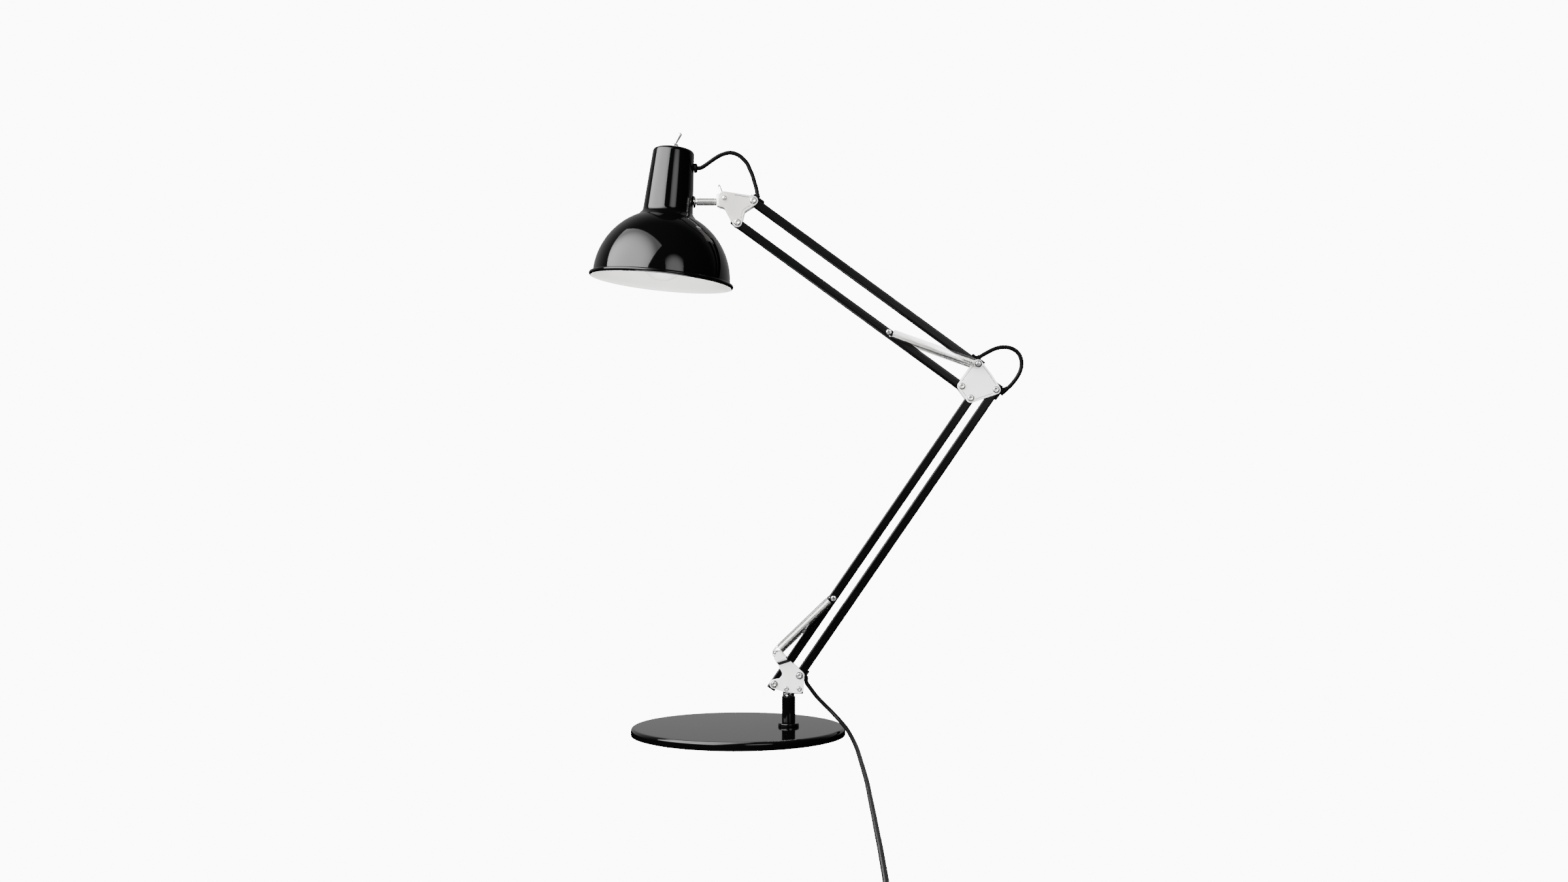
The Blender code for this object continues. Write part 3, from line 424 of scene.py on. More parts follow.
def coil_point(turned):
    """A point of the coil after so many turns, changing lane in the last part of each turn."""
    lane = min(int(turned), len(lanes) - 1)
    share = max(0.0, (turned - lane - 0.86) / 0.14)
    share = share * share * (3 - 2 * share)
    following = lanes[min(lane + 1, len(lanes) - 1)]
    radius = lanes[lane][0] * (1 - share) + following[0] * share
    height = lanes[lane][1] * (1 - share) + following[1] * share
    angle = math.pi + 2 * math.pi * turned
    return (coil_centre.x + radius * math.cos(angle), coil_centre.y + radius * math.sin(angle), height)


coil_turns = 3.25
coil_route = [coil_point(coil_turns * step / 104) for step in range(105)]
plug_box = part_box("plug")
plug_start = Vector((plug_box[0][0], (plug_box[0][1] + plug_box[1][1]) / 2, 0.0072))
mains_route += coil_route + [plug_start + Vector((-0.0060, -0.0016, 0.0008)), plug_start,
                             plug_start + Vector((0.0060, 0.0, 0.0))]

elbow_low_way = Vector((0.785, 0.0, 0.619)).normalized()
elbow_high_way = Vector((0.863, 0.0, 0.506)).normalized()
elbow_low = Vector((0.3634, 0.0, 0.4724))
elbow_high = Vector((0.3317, 0.0, 0.5206))
elbow_route = [elbow_low - elbow_low_way * 0.0030, elbow_low + elbow_low_way * 0.0060,
               (0.3747, 0.0, 0.4813), (0.3839, 0.0, 0.4929), (0.3891, 0.0, 0.5038), (0.3901, 0.0, 0.5150),
               (0.3863, 0.0, 0.5255), (0.3775, 0.0, 0.5324), (0.3666, 0.0, 0.5346), (0.3553, 0.0, 0.5329),
               (0.3433, 0.0, 0.5274), elbow_high + elbow_high_way * 0.0010,
               elbow_high - elbow_high_way * 0.0040]
head_way = Vector((-0.10, 0.0, 1.0)).normalized()
head_low = Vector((0.0262, 0.0, 0.7445))
neck_exit = Vector((-0.0557, 0.0, 0.7812))
head_route = [neck_exit - Vector((0.0030, 0.0, 0.0)), neck_exit + Vector((0.0030, 0.0, 0.0)),
              (-0.0490, 0.0, 0.7828), (-0.0423, 0.0, 0.7872), (-0.0347, 0.0, 0.7928),
              (-0.0261, 0.0, 0.7982), (-0.0180, 0.0, 0.8013), (-0.0113, 0.0, 0.8024),
              (-0.0036, 0.0, 0.8009), (0.0036, 0.0, 0.7968), (0.0090, 0.0, 0.7914),
              (0.0131, 0.0, 0.7860), (0.0167, 0.0, 0.7779), (0.0194, 0.0, 0.7716),
              (0.0218, 0.0, 0.7635), (0.0248, 0.0, 0.7535), head_low + head_way * 0.0020,
              head_low - head_way * 0.0030]

# %% The mains lead, in two lengths
mains_path = smooth_route(mains_route, 0.0030)
mains_split = next(index for index, point in enumerate(mains_path)
                   if route_length(mains_path[:index + 1]) > 0.040)
mains_top = keep("mains_lead_top", drawn_wire(mains_path[:mains_split + 1], flex_radius, 5), flex_black,
                 None, ())
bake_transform(mains_top)
mains_lead = keep("mains_lead", drawn_wire(mains_path[mains_split:], flex_radius, 5), flex_black, None,
                  ("mains_cord", "cord_coil"))
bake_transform(mains_lead)
print("mains lead", round(route_length(mains_path), 3), "m")

# %% The two loops, split where they cross joints
elbow_path = smooth_route(elbow_route, 0.0022)
elbow_half = max(range(len(elbow_path)), key=lambda index: elbow_path[index].x)
elbow_loop_low = keep("elbow_loop_low", drawn_wire(elbow_path[:elbow_half + 1], flex_radius, 5), flex_black,
                      None, ())
elbow_loop_high = keep("elbow_loop_high", drawn_wire(elbow_path[elbow_half:], flex_radius, 5), flex_black,
                       None, "elbow_cord")
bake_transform(elbow_loop_low)
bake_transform(elbow_loop_high)
head_path = smooth_route(head_route, 0.0022)
head_first = next(index for index, point in enumerate(head_path) if point.x > -0.022)
head_second = next(index for index, point in enumerate(head_path) if point.z < 0.782 and point.x > 0)
head_parts = [("head_loop_neck", head_path[:head_first + 1], "shade", "head_rod"),
              ("head_loop_crown", head_path[head_first:head_second + 1], "head_rod", "head_bracket"),
              ("head_loop_arm", head_path[head_second:], "head_bracket", "upper_arm_top")]
for name, route, before, after in head_parts:
    loop = keep(name, drawn_wire(route, flex_radius, 5), flex_black, None,
                "head_cord" if name == "head_loop_crown" else ())
    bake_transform(loop)
print("elbow loop", round(route_length(elbow_path), 3), "head loop", round(route_length(head_path), 3))

# %% [markdown]
# ## Sheet metal, blocks and holes
# The joint plates are pressed sheet. Their outline is filled with a fine triangle grid, which is then pushed
# out of its plane by a few distances: from the edge, from the rivets, from a fold.

# %% Sheet metal outlines
def outline(corners, ease=0.0011, steps=9):
    """Points round a plate. A corner is a lobe (x, z, radius) or, with no radius, a slightly eased point."""
    normals = []
    for here, there in zip(corners, corners[1:] + corners[:1]):
        run = Vector((there[0] - here[0], there[1] - here[1]))
        lean = (here[2] - there[2]) / run.length
        ahead = run.normalized()
        side = Vector((ahead.y, -ahead.x))
        normals.append(ahead * lean + side * math.sqrt(1.0 - lean * lean))
    points = []
    for index, (x, z, radius) in enumerate(corners):
        before, after = normals[index - 1], normals[index]
        if radius == 0.0:
            first = Vector((x, z)) + Vector((before.y, -before.x)) * ease
            last = Vector((x, z)) + Vector((-after.y, after.x)) * ease
            for step in range(5):
                t = step / 4
                points.append(first * (1 - t) ** 2 + Vector((x, z)) * 2 * t * (1 - t) + last * t ** 2)
            continue
        start = math.atan2(before.y, before.x)
        sweep = (math.atan2(after.y, after.x) - start) % (2 * math.pi)
        for step in range(steps + 1):
            angle = start + sweep * step / steps
            points.append(Vector((x + radius * math.cos(angle), z + radius * math.sin(angle))))
    return points


# %% Pressed sheets
def step_up(value, low, high):
    """A smooth step from 0 to 1 between two values, for arrays."""
    share = numpy.clip((value - low) / (high - low), 0.0, 1.0)
    return share * share * (3 - 2 * share)


def edge_distance(spots, loop):
    """Distance of every spot from a closed loop, and whether it lies inside it."""
    nearest = numpy.full(len(spots), 1e9)
    inside = numpy.zeros(len(spots), bool)
    for a, b in zip(loop, loop[1:] + loop[:1]):
        run = numpy.array(b - a)
        share = numpy.clip(((spots - numpy.array(a)) @ run) / max(run @ run, 1e-18), 0.0, 1.0)
        gap = spots - numpy.array(a) - share[:, None] * run
        nearest = numpy.minimum(nearest, numpy.hypot(gap[:, 0], gap[:, 1]))
        crosses = (spots[:, 1] < b.y) != (spots[:, 1] < a.y)
        reach = (spots[:, 1] - a.y) * (b.x - a.x) / ((b.y - a.y) or 1e-18) + a.x
        inside ^= crosses & (spots[:, 0] < reach)
    return nearest, inside


def triangle_grid(low, high, spacing):
    """Points of a triangular grid over a rectangle."""
    rows = numpy.arange(low[1], high[1], spacing * 0.866)
    return numpy.array([(x, z) for row, z in enumerate(rows)
                        for x in numpy.arange(low[0] + (row % 2) * spacing / 2, high[0], spacing)])


def pressed_plate(corners, rivets, side, relief_of, fine_band, thickness=0.0015, middle=0.00715):
    """A sheet-metal plate beside the arms, pressed out of its plane by relief_of(spots, edge distance),
    which also tells which spots get the painted shade. The grid is finer where fine_band says so."""
    edge = outline(corners)
    loops = [edge]
    for x, z in rivets:
        loops.append([Vector((x + 0.0027 * math.cos(a), z + 0.0027 * math.sin(a)))
                      for a in (2 * math.pi * step / 20 for step in range(20))])
    points, links = [], []
    for loop in loops:
        first = len(points)
        points += loop
        links += [(first + index, first + (index + 1) % len(loop)) for index in range(len(loop))]
    low = [min(point[axis] for point in edge) for axis in (0, 1)]
    high = [max(point[axis] for point in edge) for axis in (0, 1)]
    for spacing, fine in ((0.0009, False), (0.00030, True)):
        grid = triangle_grid(low, high, spacing)
        gap, inside = edge_distance(grid, edge)
        banded = fine_band(grid, gap)
        clear = inside & (gap > 0.4 * spacing) & (banded if fine else ~banded)
        for x, z in rivets:
            clear &= numpy.hypot(grid[:, 0] - x, grid[:, 1] - z) > 0.0027 + 0.4 * spacing
        points += [Vector(spot) for spot in grid[clear]]
    spots, _, faces, *_ = delaunay_2d_cdt(points, links, [], 1, 1e-7)
    flat = numpy.array([tuple(spot) for spot in spots])
    gap, _ = edge_distance(flat, edge)
    rise, press, shaded = relief_of(flat, gap)
    bm = bmesh.new()
    verts = [bm.verts.new((x, side * (middle + y), z)) for (x, z), y in zip(flat, rise)]
    for face in faces:
        centre = flat[list(face)].mean(axis=0)
        if all(math.hypot(centre[0] - x, centre[1] - z) > 0.0026 for x, z in rivets):
            made = bm.faces.new([verts[index] for index in face])
            # Faces with more than one shaded spot get the painted shade.
            made.material_index = 1 if shaded[list(face)].sum() > 1 else 0
    bmesh.ops.recalc_face_normals(bm, faces=bm.faces)
    if side * sum(face.normal.y for face in bm.faces) < 0:
        bmesh.ops.reverse_faces(bm, faces=bm.faces)
    bm.normal_update()
    for vert, normal in [(vert, vert.normal.copy()) for vert in bm.verts]:
        vert.co += normal * thickness / 2
    bmesh.ops.solidify(bm, geom=bm.faces[:], thickness=thickness)
    for vert, depth in zip(verts, press):
        vert.co.y += side * depth
    bmesh.ops.recalc_face_normals(bm, faces=bm.faces)
    return bm


# %% Cutting, blocks and slabs
def cut(bm, *tools):
    """Take closed shapes out of a closed shape."""
    loose = []
    for name, shape in [("cut", bm)] + [("tool", tool) for tool in tools]:
        mesh = bpy.data.meshes.new(name)
        shape.to_mesh(mesh)
        shape.free()
        loose.append(bpy.data.objects.new(name, mesh))
        bpy.context.scene.collection.objects.link(loose[-1])
    for tool in loose[1:]:
        step = loose[0].modifiers.new("cut", "BOOLEAN")
        step.object = tool
        step.operation = "DIFFERENCE"
        step.solver = "EXACT"
    result = bpy.data.meshes.new_from_object(
        loose[0].evaluated_get(bpy.context.evaluated_depsgraph_get()))
    for item in loose:
        bpy.data.objects.remove(item, do_unlink=True)
    left = bmesh.new()
    left.from_mesh(result)
    bpy.data.meshes.remove(result)
    bmesh.ops.remove_doubles(left, verts=left.verts, dist=1e-7)
    return left


def axes(origin, across, up):
    """A frame with its first axis along one direction and its third as near another as it can be."""
    first = Vector(across).normalized()
    second = Vector(up).cross(first).normalized()
    third = first.cross(second)
    return Matrix.Translation(Vector(origin)) @ Matrix((first, second, third)).transposed().to_4x4()


def block(size, frame_of, bevel, segments=3):
    """A box with rounded edges in a frame of its own."""
    bm = bmesh.new()
    bmesh.ops.create_cube(bm, size=1.0, matrix=Matrix.Diagonal((*size, 1.0)))
    bmesh.ops.bevel(bm, geom=bm.edges[:], offset=bevel, affect="EDGES", segments=segments, profile=0.5,
                    material=-1)
    bm.transform(frame_of)
    return bm


def slab(points, thickness, bevel, frame_of):
    """A flat shape in a frame's first two axes, given a thickness along the third and eased edges."""
    bm = bmesh.new()
    face = bm.faces.new([bm.verts.new((x, y, -thickness / 2)) for x, y in points])
    drawn = bmesh.ops.extrude_face_region(bm, geom=[face])
    moved = [item for item in drawn["geom"] if isinstance(item, bmesh.types.BMVert)]
    bmesh.ops.translate(bm, verts=moved, vec=(0, 0, thickness))
    bmesh.ops.recalc_face_normals(bm, faces=bm.faces)
    rims = [edge for edge in bm.edges if edge.calc_face_angle(0.0) > 1.0]
    bmesh.ops.bevel(bm, geom=rims, offset=bevel, affect="EDGES", segments=2, profile=0.5, material=-1)
    bm.transform(frame_of)
    return bm


def rod(radius, low, high, origin, direction, steps=32):
    """A plain cylinder between two heights of an axis, for cutting holes."""
    return turn([(0.0, high), (radius, high), (radius, low), (0.0, low)], origin, direction, steps)


# %% [markdown]
# ## Base and stem
# The base is a heavy disc with a rolled edge. Its lacquer shows best where the edge turns over. A ribbed
# rubber pad lies under it, and the stem stands off centre on a turned flange.

# %% Base disc, foot pad and the bolt from below
base_radius = 0.1475
stem_spot = (0.0693, 0.0, 0.0)
up = (0.0, 0.0, 1.0)
disc_profile = [(0.0, 0.01250), (0.1290, 0.01250), (0.1380, 0.01242)]
disc_profile += arc(0.1430, 0.0080, 0.0044, 90, 0, 9) \
    + [(base_radius - 0.0001, 0.0068), (base_radius, 0.0060), (base_radius, 0.0028)] \
    + arc(base_radius - 0.0011, 0.0026, 0.0011, 0, -90, 5) + [(0.1300, 0.0015), (0.0, 0.0015)]
counterbore = turn([(0.0, 0.03), (0.0033, 0.03), (0.0033, 0.0062), (0.0068, 0.0062), (0.0068, -0.01),
                    (0.0, -0.01)], stem_spot, up, 32)
keep("base_disc_shown", cut(turn(disc_profile, (0, 0, 0), up, 160), counterbore), gloss_black, "base",
     "base_disc", 40)
pad_profile = [(0.0, 0.0012), (0.1415, 0.0012), (0.1415, 0.0002), (0.1412, 0.0)]
for ring in range(11):
    radius = 0.1370 - ring * 0.0110
    pad_profile += [(radius, 0.0), (radius - 0.0004, 0.0005), (radius - 0.0024, 0.0005),
                    (radius - 0.0028, 0.0)]
pad_profile.append((0.0, 0.0))
keep("foot_pad_ribbed", turn(pad_profile, (0, 0, 0), up, 96), foot_rubber, "base", "foot_pad")
hex_key = turn([(0.0, 0.0047), (0.0026, 0.0047), (0.0026, 0.0), (0.0, 0.0)], stem_spot, up, 6)
bolt = turn([(0.0, 0.0265), (0.0024, 0.0265), (0.0030, 0.0258), (0.0030, 0.0059), (0.0058, 0.0059),
             (0.0064, 0.0054), (0.0064, 0.0025), (0.0059, 0.0020), (0.0, 0.0020)], stem_spot, up, 48)
keep("stem_bolt_shown", cut(bolt, hex_key), plain_steel, "base", "stem_bolt")

# %% Stem, flange, bush and collar
flange = [(0.0036, 0.0173), (0.0098, 0.0173), (0.0108, 0.0171)] + arc(0.0128, 0.0156, 0.0015, 90, 0, 6) \
    + [(0.0145, 0.0140), (0.0145, 0.0133), (0.0142, 0.0128), (0.0036, 0.0128)]
keep("stem_flange_shown", turn(flange, stem_spot, up, 96), gloss_black, "base", "stem_flange")
stem_tube = [(0.0068, 0.0540), (0.0087, 0.0540)] + arc(0.0087, 0.0534, 0.0006, 90, 0, 4) \
    + [(0.0093, 0.0182), (0.0091, 0.0176), (0.0068, 0.0176)]
keep("stem_tube_shown", turn(stem_tube, stem_spot, up, 96), gloss_black, "base", "stem_tube")
bush = [(0.0043, 0.0537), (0.0061, 0.0537), (0.0065, 0.0533), (0.0065, 0.0334), (0.0061, 0.0330),
        (0.0043, 0.0330)]
keep("stem_bush_shown", turn(bush, stem_spot, up, 48), plastic_black, "base", "stem_bush")
filler = [(0.0033, 0.0276), (0.0060, 0.0276), (0.0065, 0.0271), (0.0065, 0.0180), (0.0061, 0.0176),
          (0.0033, 0.0176)]
keep("stem_plug_shown", turn(filler, stem_spot, up, 48), plain_steel, "base", "stem_plug")

# %% [markdown]
# ## Bracket at the foot of the arms
# A chromed block turns in the stem's bush. Two pressed plates are riveted to it; each carries an ear that
# is joggled outwards, so that the springs can hang beside the arm on a stud inside the ear.

# %% Swivel block
neck = [(0.0, 0.0580), (0.0078, 0.0580), (0.0082, 0.0576), (0.0082, 0.0568), (0.0079, 0.0564),
        (0.0079, 0.0558), (0.0082, 0.0554), (0.0082, 0.0549), (0.0079, 0.0546), (0.0040, 0.0546),
        (0.0040, 0.0344), (0.0036, 0.0340), (0.0, 0.0340)]
block_frame = axes((0.0755, 0.0, 0.06375), (1, 0, 0), up)
block_body = cut(block((0.0280, 0.0118, 0.0125), block_frame, 0.0007),
                 rod(0.0027, -0.02, 0.02, (0.0662, 0.0, 0.0646), (0, -1, 0)),
                 rod(0.0027, -0.02, 0.02, (0.0838, 0.0, 0.0645), (0, -1, 0)))
keep("swivel_block_shown", join(turn(neck, stem_spot, up, 96), block_body), chrome, "bracket",
     "swivel_block")

# %% Base plates
groove_in = 0.0028
groove_core, groove_reach = 0.00010, 0.00045
band_reach, rim_band = 0.0008, 0.0009
joggle_middle, joggle_reach = 0.0028, 0.0034


def groove(spots, gap, rivets, depth=0.00040, lift=0.00012):
    """A line pressed in beside the edge, stopping at the rivets' bosses, and a rolled rim."""
    press = -depth * (1 - step_up(numpy.abs(gap - groove_in), groove_core, groove_reach))
    boss = numpy.zeros(len(spots))
    for x, z in rivets:
        reach = numpy.hypot(spots[:, 0] - x, spots[:, 1] - z)
        press *= step_up(reach, 0.0066, 0.0074)
        boss = numpy.maximum(boss, 1 - step_up(reach, 0.0054, 0.0062))
    # The pressed line's faces are marked for the painted shade.
    line = press < -0.4 * depth
    return press + lift * boss - 0.00022 * (1 - step_up(gap, 0.0, 0.0007)), line


def near_groove(spots, gap):
    return numpy.abs(gap - groove_in) < band_reach


def flat(point):
    return (point.x, point.z)


rivet_j = (0.0662, 0.0646)
rivet_k = (0.0838, 0.0645)
base_rivets = [flat(point_h), rivet_j, rivet_k, flat(point_i)]
base_corners = [(0.0562, 0.0938, 0.0), (0.0590, 0.0900, 0.0), (0.0606, 0.0862, 0.0), (0.0602, 0.0828, 0.0),
                (0.0569, 0.0793, 0.0), (*flat(point_h), 0.0063), (*rivet_j, 0.0046), (*rivet_k, 0.0061),
                (*flat(point_i), 0.0066), (0.0720, 0.1026, 0.0), (0.0663, 0.1075, 0.0),
                (0.0593, 0.1157, 0.0), (0.0532, 0.1162, 0.0), (0.0489, 0.1076, 0.0), (0.0522, 0.1027, 0.0),
                (0.0558, 0.0974, 0.0)]
ear_offset = 0.00980


def ear_climb(spots):
    """How far up the ear's joggle each spot lies; negative on the flat of the plate."""
    return (spots[:, 0] - 0.0558) * -0.306 + (spots[:, 1] - 0.0974) * 0.952


def base_relief(spots, gap):
    """The ear's joggle is a sloping band across the sheet with a soft bend at each end. The band is marked
    for the painted shade.
    """
    climb = ear_climb(spots)
    share = numpy.clip(climb / 0.0063, 0.0, 1.0)
    ramp = 0.72 * share + 0.28 * share * share * (3 - 2 * share)
    press, _ = groove(spots, gap, base_rivets, 0.00005)
    # The middle of the joggle's band gets the painted shade.
    return ear_offset * ramp, press * (climb < 0.0), (climb > 0.0004) & (climb < 0.0052)


for side, name in ((-1, "front"), (1, "back")):
    bm = pressed_plate(base_corners, base_rivets, side, base_relief,
                       lambda spots, gap: (gap < rim_band)
                       | (numpy.abs(ear_climb(spots) - joggle_middle) < joggle_reach))
    keep("base_plate_" + name + "_shown", bm, [nickel, shaded_metal], "bracket", "base_plate_" + name,
         50)

# %% [markdown]
# Every pivot is a riveted pin with a washer under its head. The head is a low dome with a turned edge. The
# three that hold the springs are longer and screwed in, so their heads carry a cross recess.

# %% Pins and rivets
def pin_profile(head_from, radius, height, shank=0.0024, washer=0.0, dimple=True):
    """Half of a pin's profile from the crown of its head to the shank."""
    if dimple:
        shape = [(0.0, 0.66), (0.20, 0.68), (0.30, 0.76), (0.38, 0.90), (0.48, 0.985), (0.60, 1.0),
                 (0.74, 0.94), (0.86, 0.80), (0.95, 0.58), (1.0, 0.34), (1.0, 0.12), (0.96, 0.0)]
    else:
        shape = [(0.0, 1.0), (0.30, 0.985), (0.55, 0.92), (0.74, 0.80), (0.88, 0.60), (0.96, 0.38),
                 (1.0, 0.20), (0.985, 0.06), (0.95, 0.0)]
    rows = [(r * radius, head_from + washer + h * height) for r, h in shape]
    if washer:
        wide = radius + 0.0008
        rows += [(0.90 * radius, head_from + washer), (wide - 0.0002, head_from + washer),
                 (wide, head_from + 0.6 * washer), (wide, head_from)]
    return rows + [(shank, head_from)]


def through_pin(name, spot, owner, head_from, radius, height, nodes, washer=0.0, recess=None):
    """A pin across the arms with a head at both ends; a recess turns the heads into screws."""
    near = pin_profile(head_from, radius, height, washer=washer, dimple=recess is None)
    far = [(r, -h) for r, h in reversed(near)]
    bm = turn(near + far, spot, (0, -1, 0), 48)
    if recess is not None:
        tools = []
        for sign in (-1, 1):
            for quarter in (0, 90):
                angle = math.radians(recess + quarter)
                way = (math.cos(angle), 0.0, math.sin(angle))
                place_at = Vector(spot) + Vector((0.0, sign * (head_from + height), 0.0))
                tools.append(block((0.0050, 0.0009, 0.0024), axes(place_at, way, (0, 1, 0)), 0.0001, 1))
        bm = cut(bm, *tools)
    # The ring at the edge of each head, and a screw's cross recess, get the painted shade.
    for face in bm.faces:
        centre = face.calc_center_median() - Vector(spot)
        reach = math.hypot(centre.x, centre.z)
        sunk = recess is not None and abs(centre.y) < head_from + 0.8 * height and reach < 0.55 * radius
        face.material_index = 1 if 0.80 * radius < reach < 1.01 * radius or sunk else 0
    return keep(name, bm, [rivet_nickel, shaded_metal], owner, nodes, 38)


plate_face = 0.0082
through_pin("pivot_rivet_left_shown", point_h, "bracket", plate_face, 0.0044, 0.0021, "pivot_rivet_left",
            washer=0.0005)
through_pin("pivot_rivet_right_shown", point_i, "bracket", plate_face, 0.0044, 0.0021, "pivot_rivet_right",
            washer=0.0005)
for name, spot in (("left", rivet_j), ("right", rivet_k)):
    through_pin("block_rivet_" + name + "_shown", Vector((spot[0], 0.0, spot[1])), "bracket", plate_face,
                0.0034, 0.0020, "block_rivet_" + name)

# %% Studs inside the ears
spring_anchor = Vector((0.0518, 0.0, 0.1136))
stud = [(0.0, 0.0108), (0.0019, 0.0108), (0.0024, 0.0111), (0.0024, 0.0118), (0.0021, 0.0120),
        (0.0016, 0.0121), (0.0016, 0.0159), (0.0, 0.0159)]
for side, name in ((-1, "front"), (1, "back")):
    keep("spring_stud_" + name + "_shown", turn(stud, spring_anchor, (0, side, 0), 32), plain_steel,
         "bracket", "spring_stud_" + name)

# %% [markdown]
# ## Arms
# All four tubes are square with eased corners and are open at both ends. They are drilled for their pins and
# slotted where the flex goes in.

# %% Square tubes
def square_ring(half, corner, steps=5):
    """Points of a rounded square, counter-clockwise."""
    ring = []
    for sy, sz, start in ((1, 1, 0), (-1, 1, 90), (-1, -1, 180), (1, -1, 270)):
        for step in range(steps + 1):
            angle = math.radians(start + 90 * step / steps)
            ring.append((sy * (half - corner) + corner * math.cos(angle),
                         sz * (half - corner) + corner * math.sin(angle)))
    return ring


def square_tube(start, end, tails):
    """A square tube with a bore, past two pivots by its tails, its rims lightly broken."""
    way = (end - start).normalized()
    frame_of = axes(start - way * tails[0], way, (-way.z, 0.0, way.x))
    length = (end - start).length + tails[0] + tails[1]
    bm = bmesh.new()
    rings = []
    for reach, half, corner in ((0.0, 0.0058, 0.0014), (0.0002, 0.0060, 0.0016),
                                (length - 0.0002, 0.0060, 0.0016), (length, 0.0058, 0.0014),
                                (length, 0.0050, 0.0008), (0.0, 0.0050, 0.0008)):
        rings.append([bm.verts.new((reach, a, b)) for a, b in square_ring(half, corner)])
    for ring, following in zip(rings, rings[1:] + rings[:1]):
        for index, vert in enumerate(ring):
            after = (index + 1) % len(ring)
            bm.faces.new((vert, ring[after], following[after], following[index]))
    bm.transform(frame_of)
    bmesh.ops.recalc_face_normals(bm, faces=bm.faces)
    return bm


def arm(name, start, end, tails, owner, pins, slots=()):
    """One arm tube with its drilled holes and the slots for its grommets."""
    way = (end - start).normalized()
    tools = [rod(0.0027, -0.02, 0.02, spot, (0, -1, 0), 24) for spot in pins]
    for foot, towards, reach, outer in slots:
        along = (towards - foot).normalized()
        across = Vector((along.z, 0.0, -along.x)) * outer
        middle = foot + along * (reach[0] + reach[1]) / 2 + across * 0.0060
        tools.append(block((reach[1] - reach[0] - 0.003, 0.0086, 0.0040), axes(middle, along, across),
                           0.0004, 1))
    bm = cut(square_tube(start, end, tails), *tools)
    print(name, round((end - start).length * 1000, 1), "mm between pivots")
    return keep(name + "_shown", bm, satin_black, owner, name, 30)


lower_pin = point_h.lerp(point_f, 0.3009)
upper_pin = point_e.lerp(point_c, 0.3268)
arm("lower_tube_right", point_i, point_g, (0.0085, 0.0094), "lower_arm_right", (point_i, point_g),
    ((point_i, point_g, (-0.0070, 0.0120), 1), (point_g, point_i, (-0.0090, 0.0110), -1)))
arm("lower_tube_left", point_h, point_f, (0.0085, 0.0055), "lower_arm_left", (point_h, point_f, lower_pin))
arm("upper_tube_top", point_d, point_b, (0.0080, 0.0070), "upper_arm_top", (point_d, point_b),
    ((point_d, point_b, (-0.0070, 0.0140), 1), (point_b, point_d, (-0.0050, 0.0130), -1)))
arm("upper_tube_bottom", point_e, point_c, (0.0055, 0.0080), "upper_arm_bottom",
    (point_e, point_c, upper_pin))

# %% Grommets where the flex goes in
def grommet(name, foot, towards, reach, cord_point, cord_way, outer, owner, sleeve):
    """An oblong rubber flange on the tube and a short tapered sleeve round the flex."""
    along = (towards - foot).normalized()
    across = Vector((along.z, 0.0, -along.x)) * outer
    middle = foot + along * (reach[0] + reach[1]) / 2 + across * 0.0075
    flange = block((reach[1] - reach[0], 0.0108, 0.0026), axes(middle, along, across), 0.0009)
    rows = [(0.0, -0.0003), (0.0032, -0.0003), (0.0034, -0.0008), (0.0036, -0.0030), (0.0040, -sleeve),
            (0.0, -sleeve)]
    boss = turn(rows, cord_point, cord_way, 32)
    return keep(name + "_shown", join(flange, boss), rubber_black, owner, name)


grommet("grommet_lower_foot", point_i, point_g, (-0.0070, 0.0120), mains_start, mains_way, 1,
        "lower_arm_right", 0.0052)
grommet("grommet_lower_top", point_g, point_i, (-0.0090, 0.0110), (0.3705, 0.0, 0.4780), elbow_low_way, -1,
        "lower_arm_right", 0.0120)
grommet("grommet_upper_foot", point_d, point_b, (-0.0070, 0.0140), (0.3328, 0.0, 0.5213), elbow_high_way, 1,
        "upper_arm_top", 0.0052)
grommet("grommet_upper_head", point_b, point_d, (-0.0050, 0.0130), (0.0260, 0.0, 0.7460), head_way, -1,
        "upper_arm_top", 0.0052)

# %% [markdown]
# ## Springs
# Two pull springs hang on each arm, one on either side. The lower pair is nearly closed, the upper pair is
# drawn out. Each ends in an open hook round its pin.

# %% Pull springs
def hook(centre, way, perp, radius, reach, coil_radius):
    """An open hook round a pin, from its tip to where the coil begins."""
    points = []
    for step in range(25):
        angle = math.radians(318 - 228 * step / 24)
        points.append(centre + way * radius * math.cos(angle) + perp * radius * math.sin(angle))
    for share in (0.25, 0.5, 0.75):
        eased = share * share * (3 - 2 * share)
        points.append(centre + way * reach * share * 0.93
                      + perp * (radius + (coil_radius - radius) * eased))
    return points


def pull_spring(start, end, pitch, trims, radii, wire=0.00062, coil_radius=0.00538):
    """A coil between two hooks, as one drawn wire."""
    run = end - start
    way = run.normalized()
    perp = Vector((-way.z, 0.0, way.x))
    side = Vector((0.0, 1.0, 0.0))
    first, last = trims[0] + wire, run.length - trims[1] - wire
    turns = round((last - first) / pitch)
    steps = 18
    coil = []
    for index in range(turns * steps + 1):
        angle = 2 * math.pi * index / steps
        coil.append(start + way * (first + (last - first) * index / (turns * steps))
                    + perp * coil_radius * math.cos(angle) + side * coil_radius * math.sin(angle))
    head = hook(start, way, perp, radii[0], first, coil_radius)
    tail = hook(end, -way, perp, radii[1], trims[1] + wire, coil_radius)
    opening = smooth_route(head + [coil[2], coil[3]], 0.0008)
    closing = smooth_route([coil[-4], coil[-3]] + list(reversed(tail)), 0.0008)
    return drawn_wire(opening[:-1] + coil[3:-3] + closing[1:], wire, 3), turns


def spring_plane(point, side):
    return Vector((point.x, side * 0.0145, point.z))


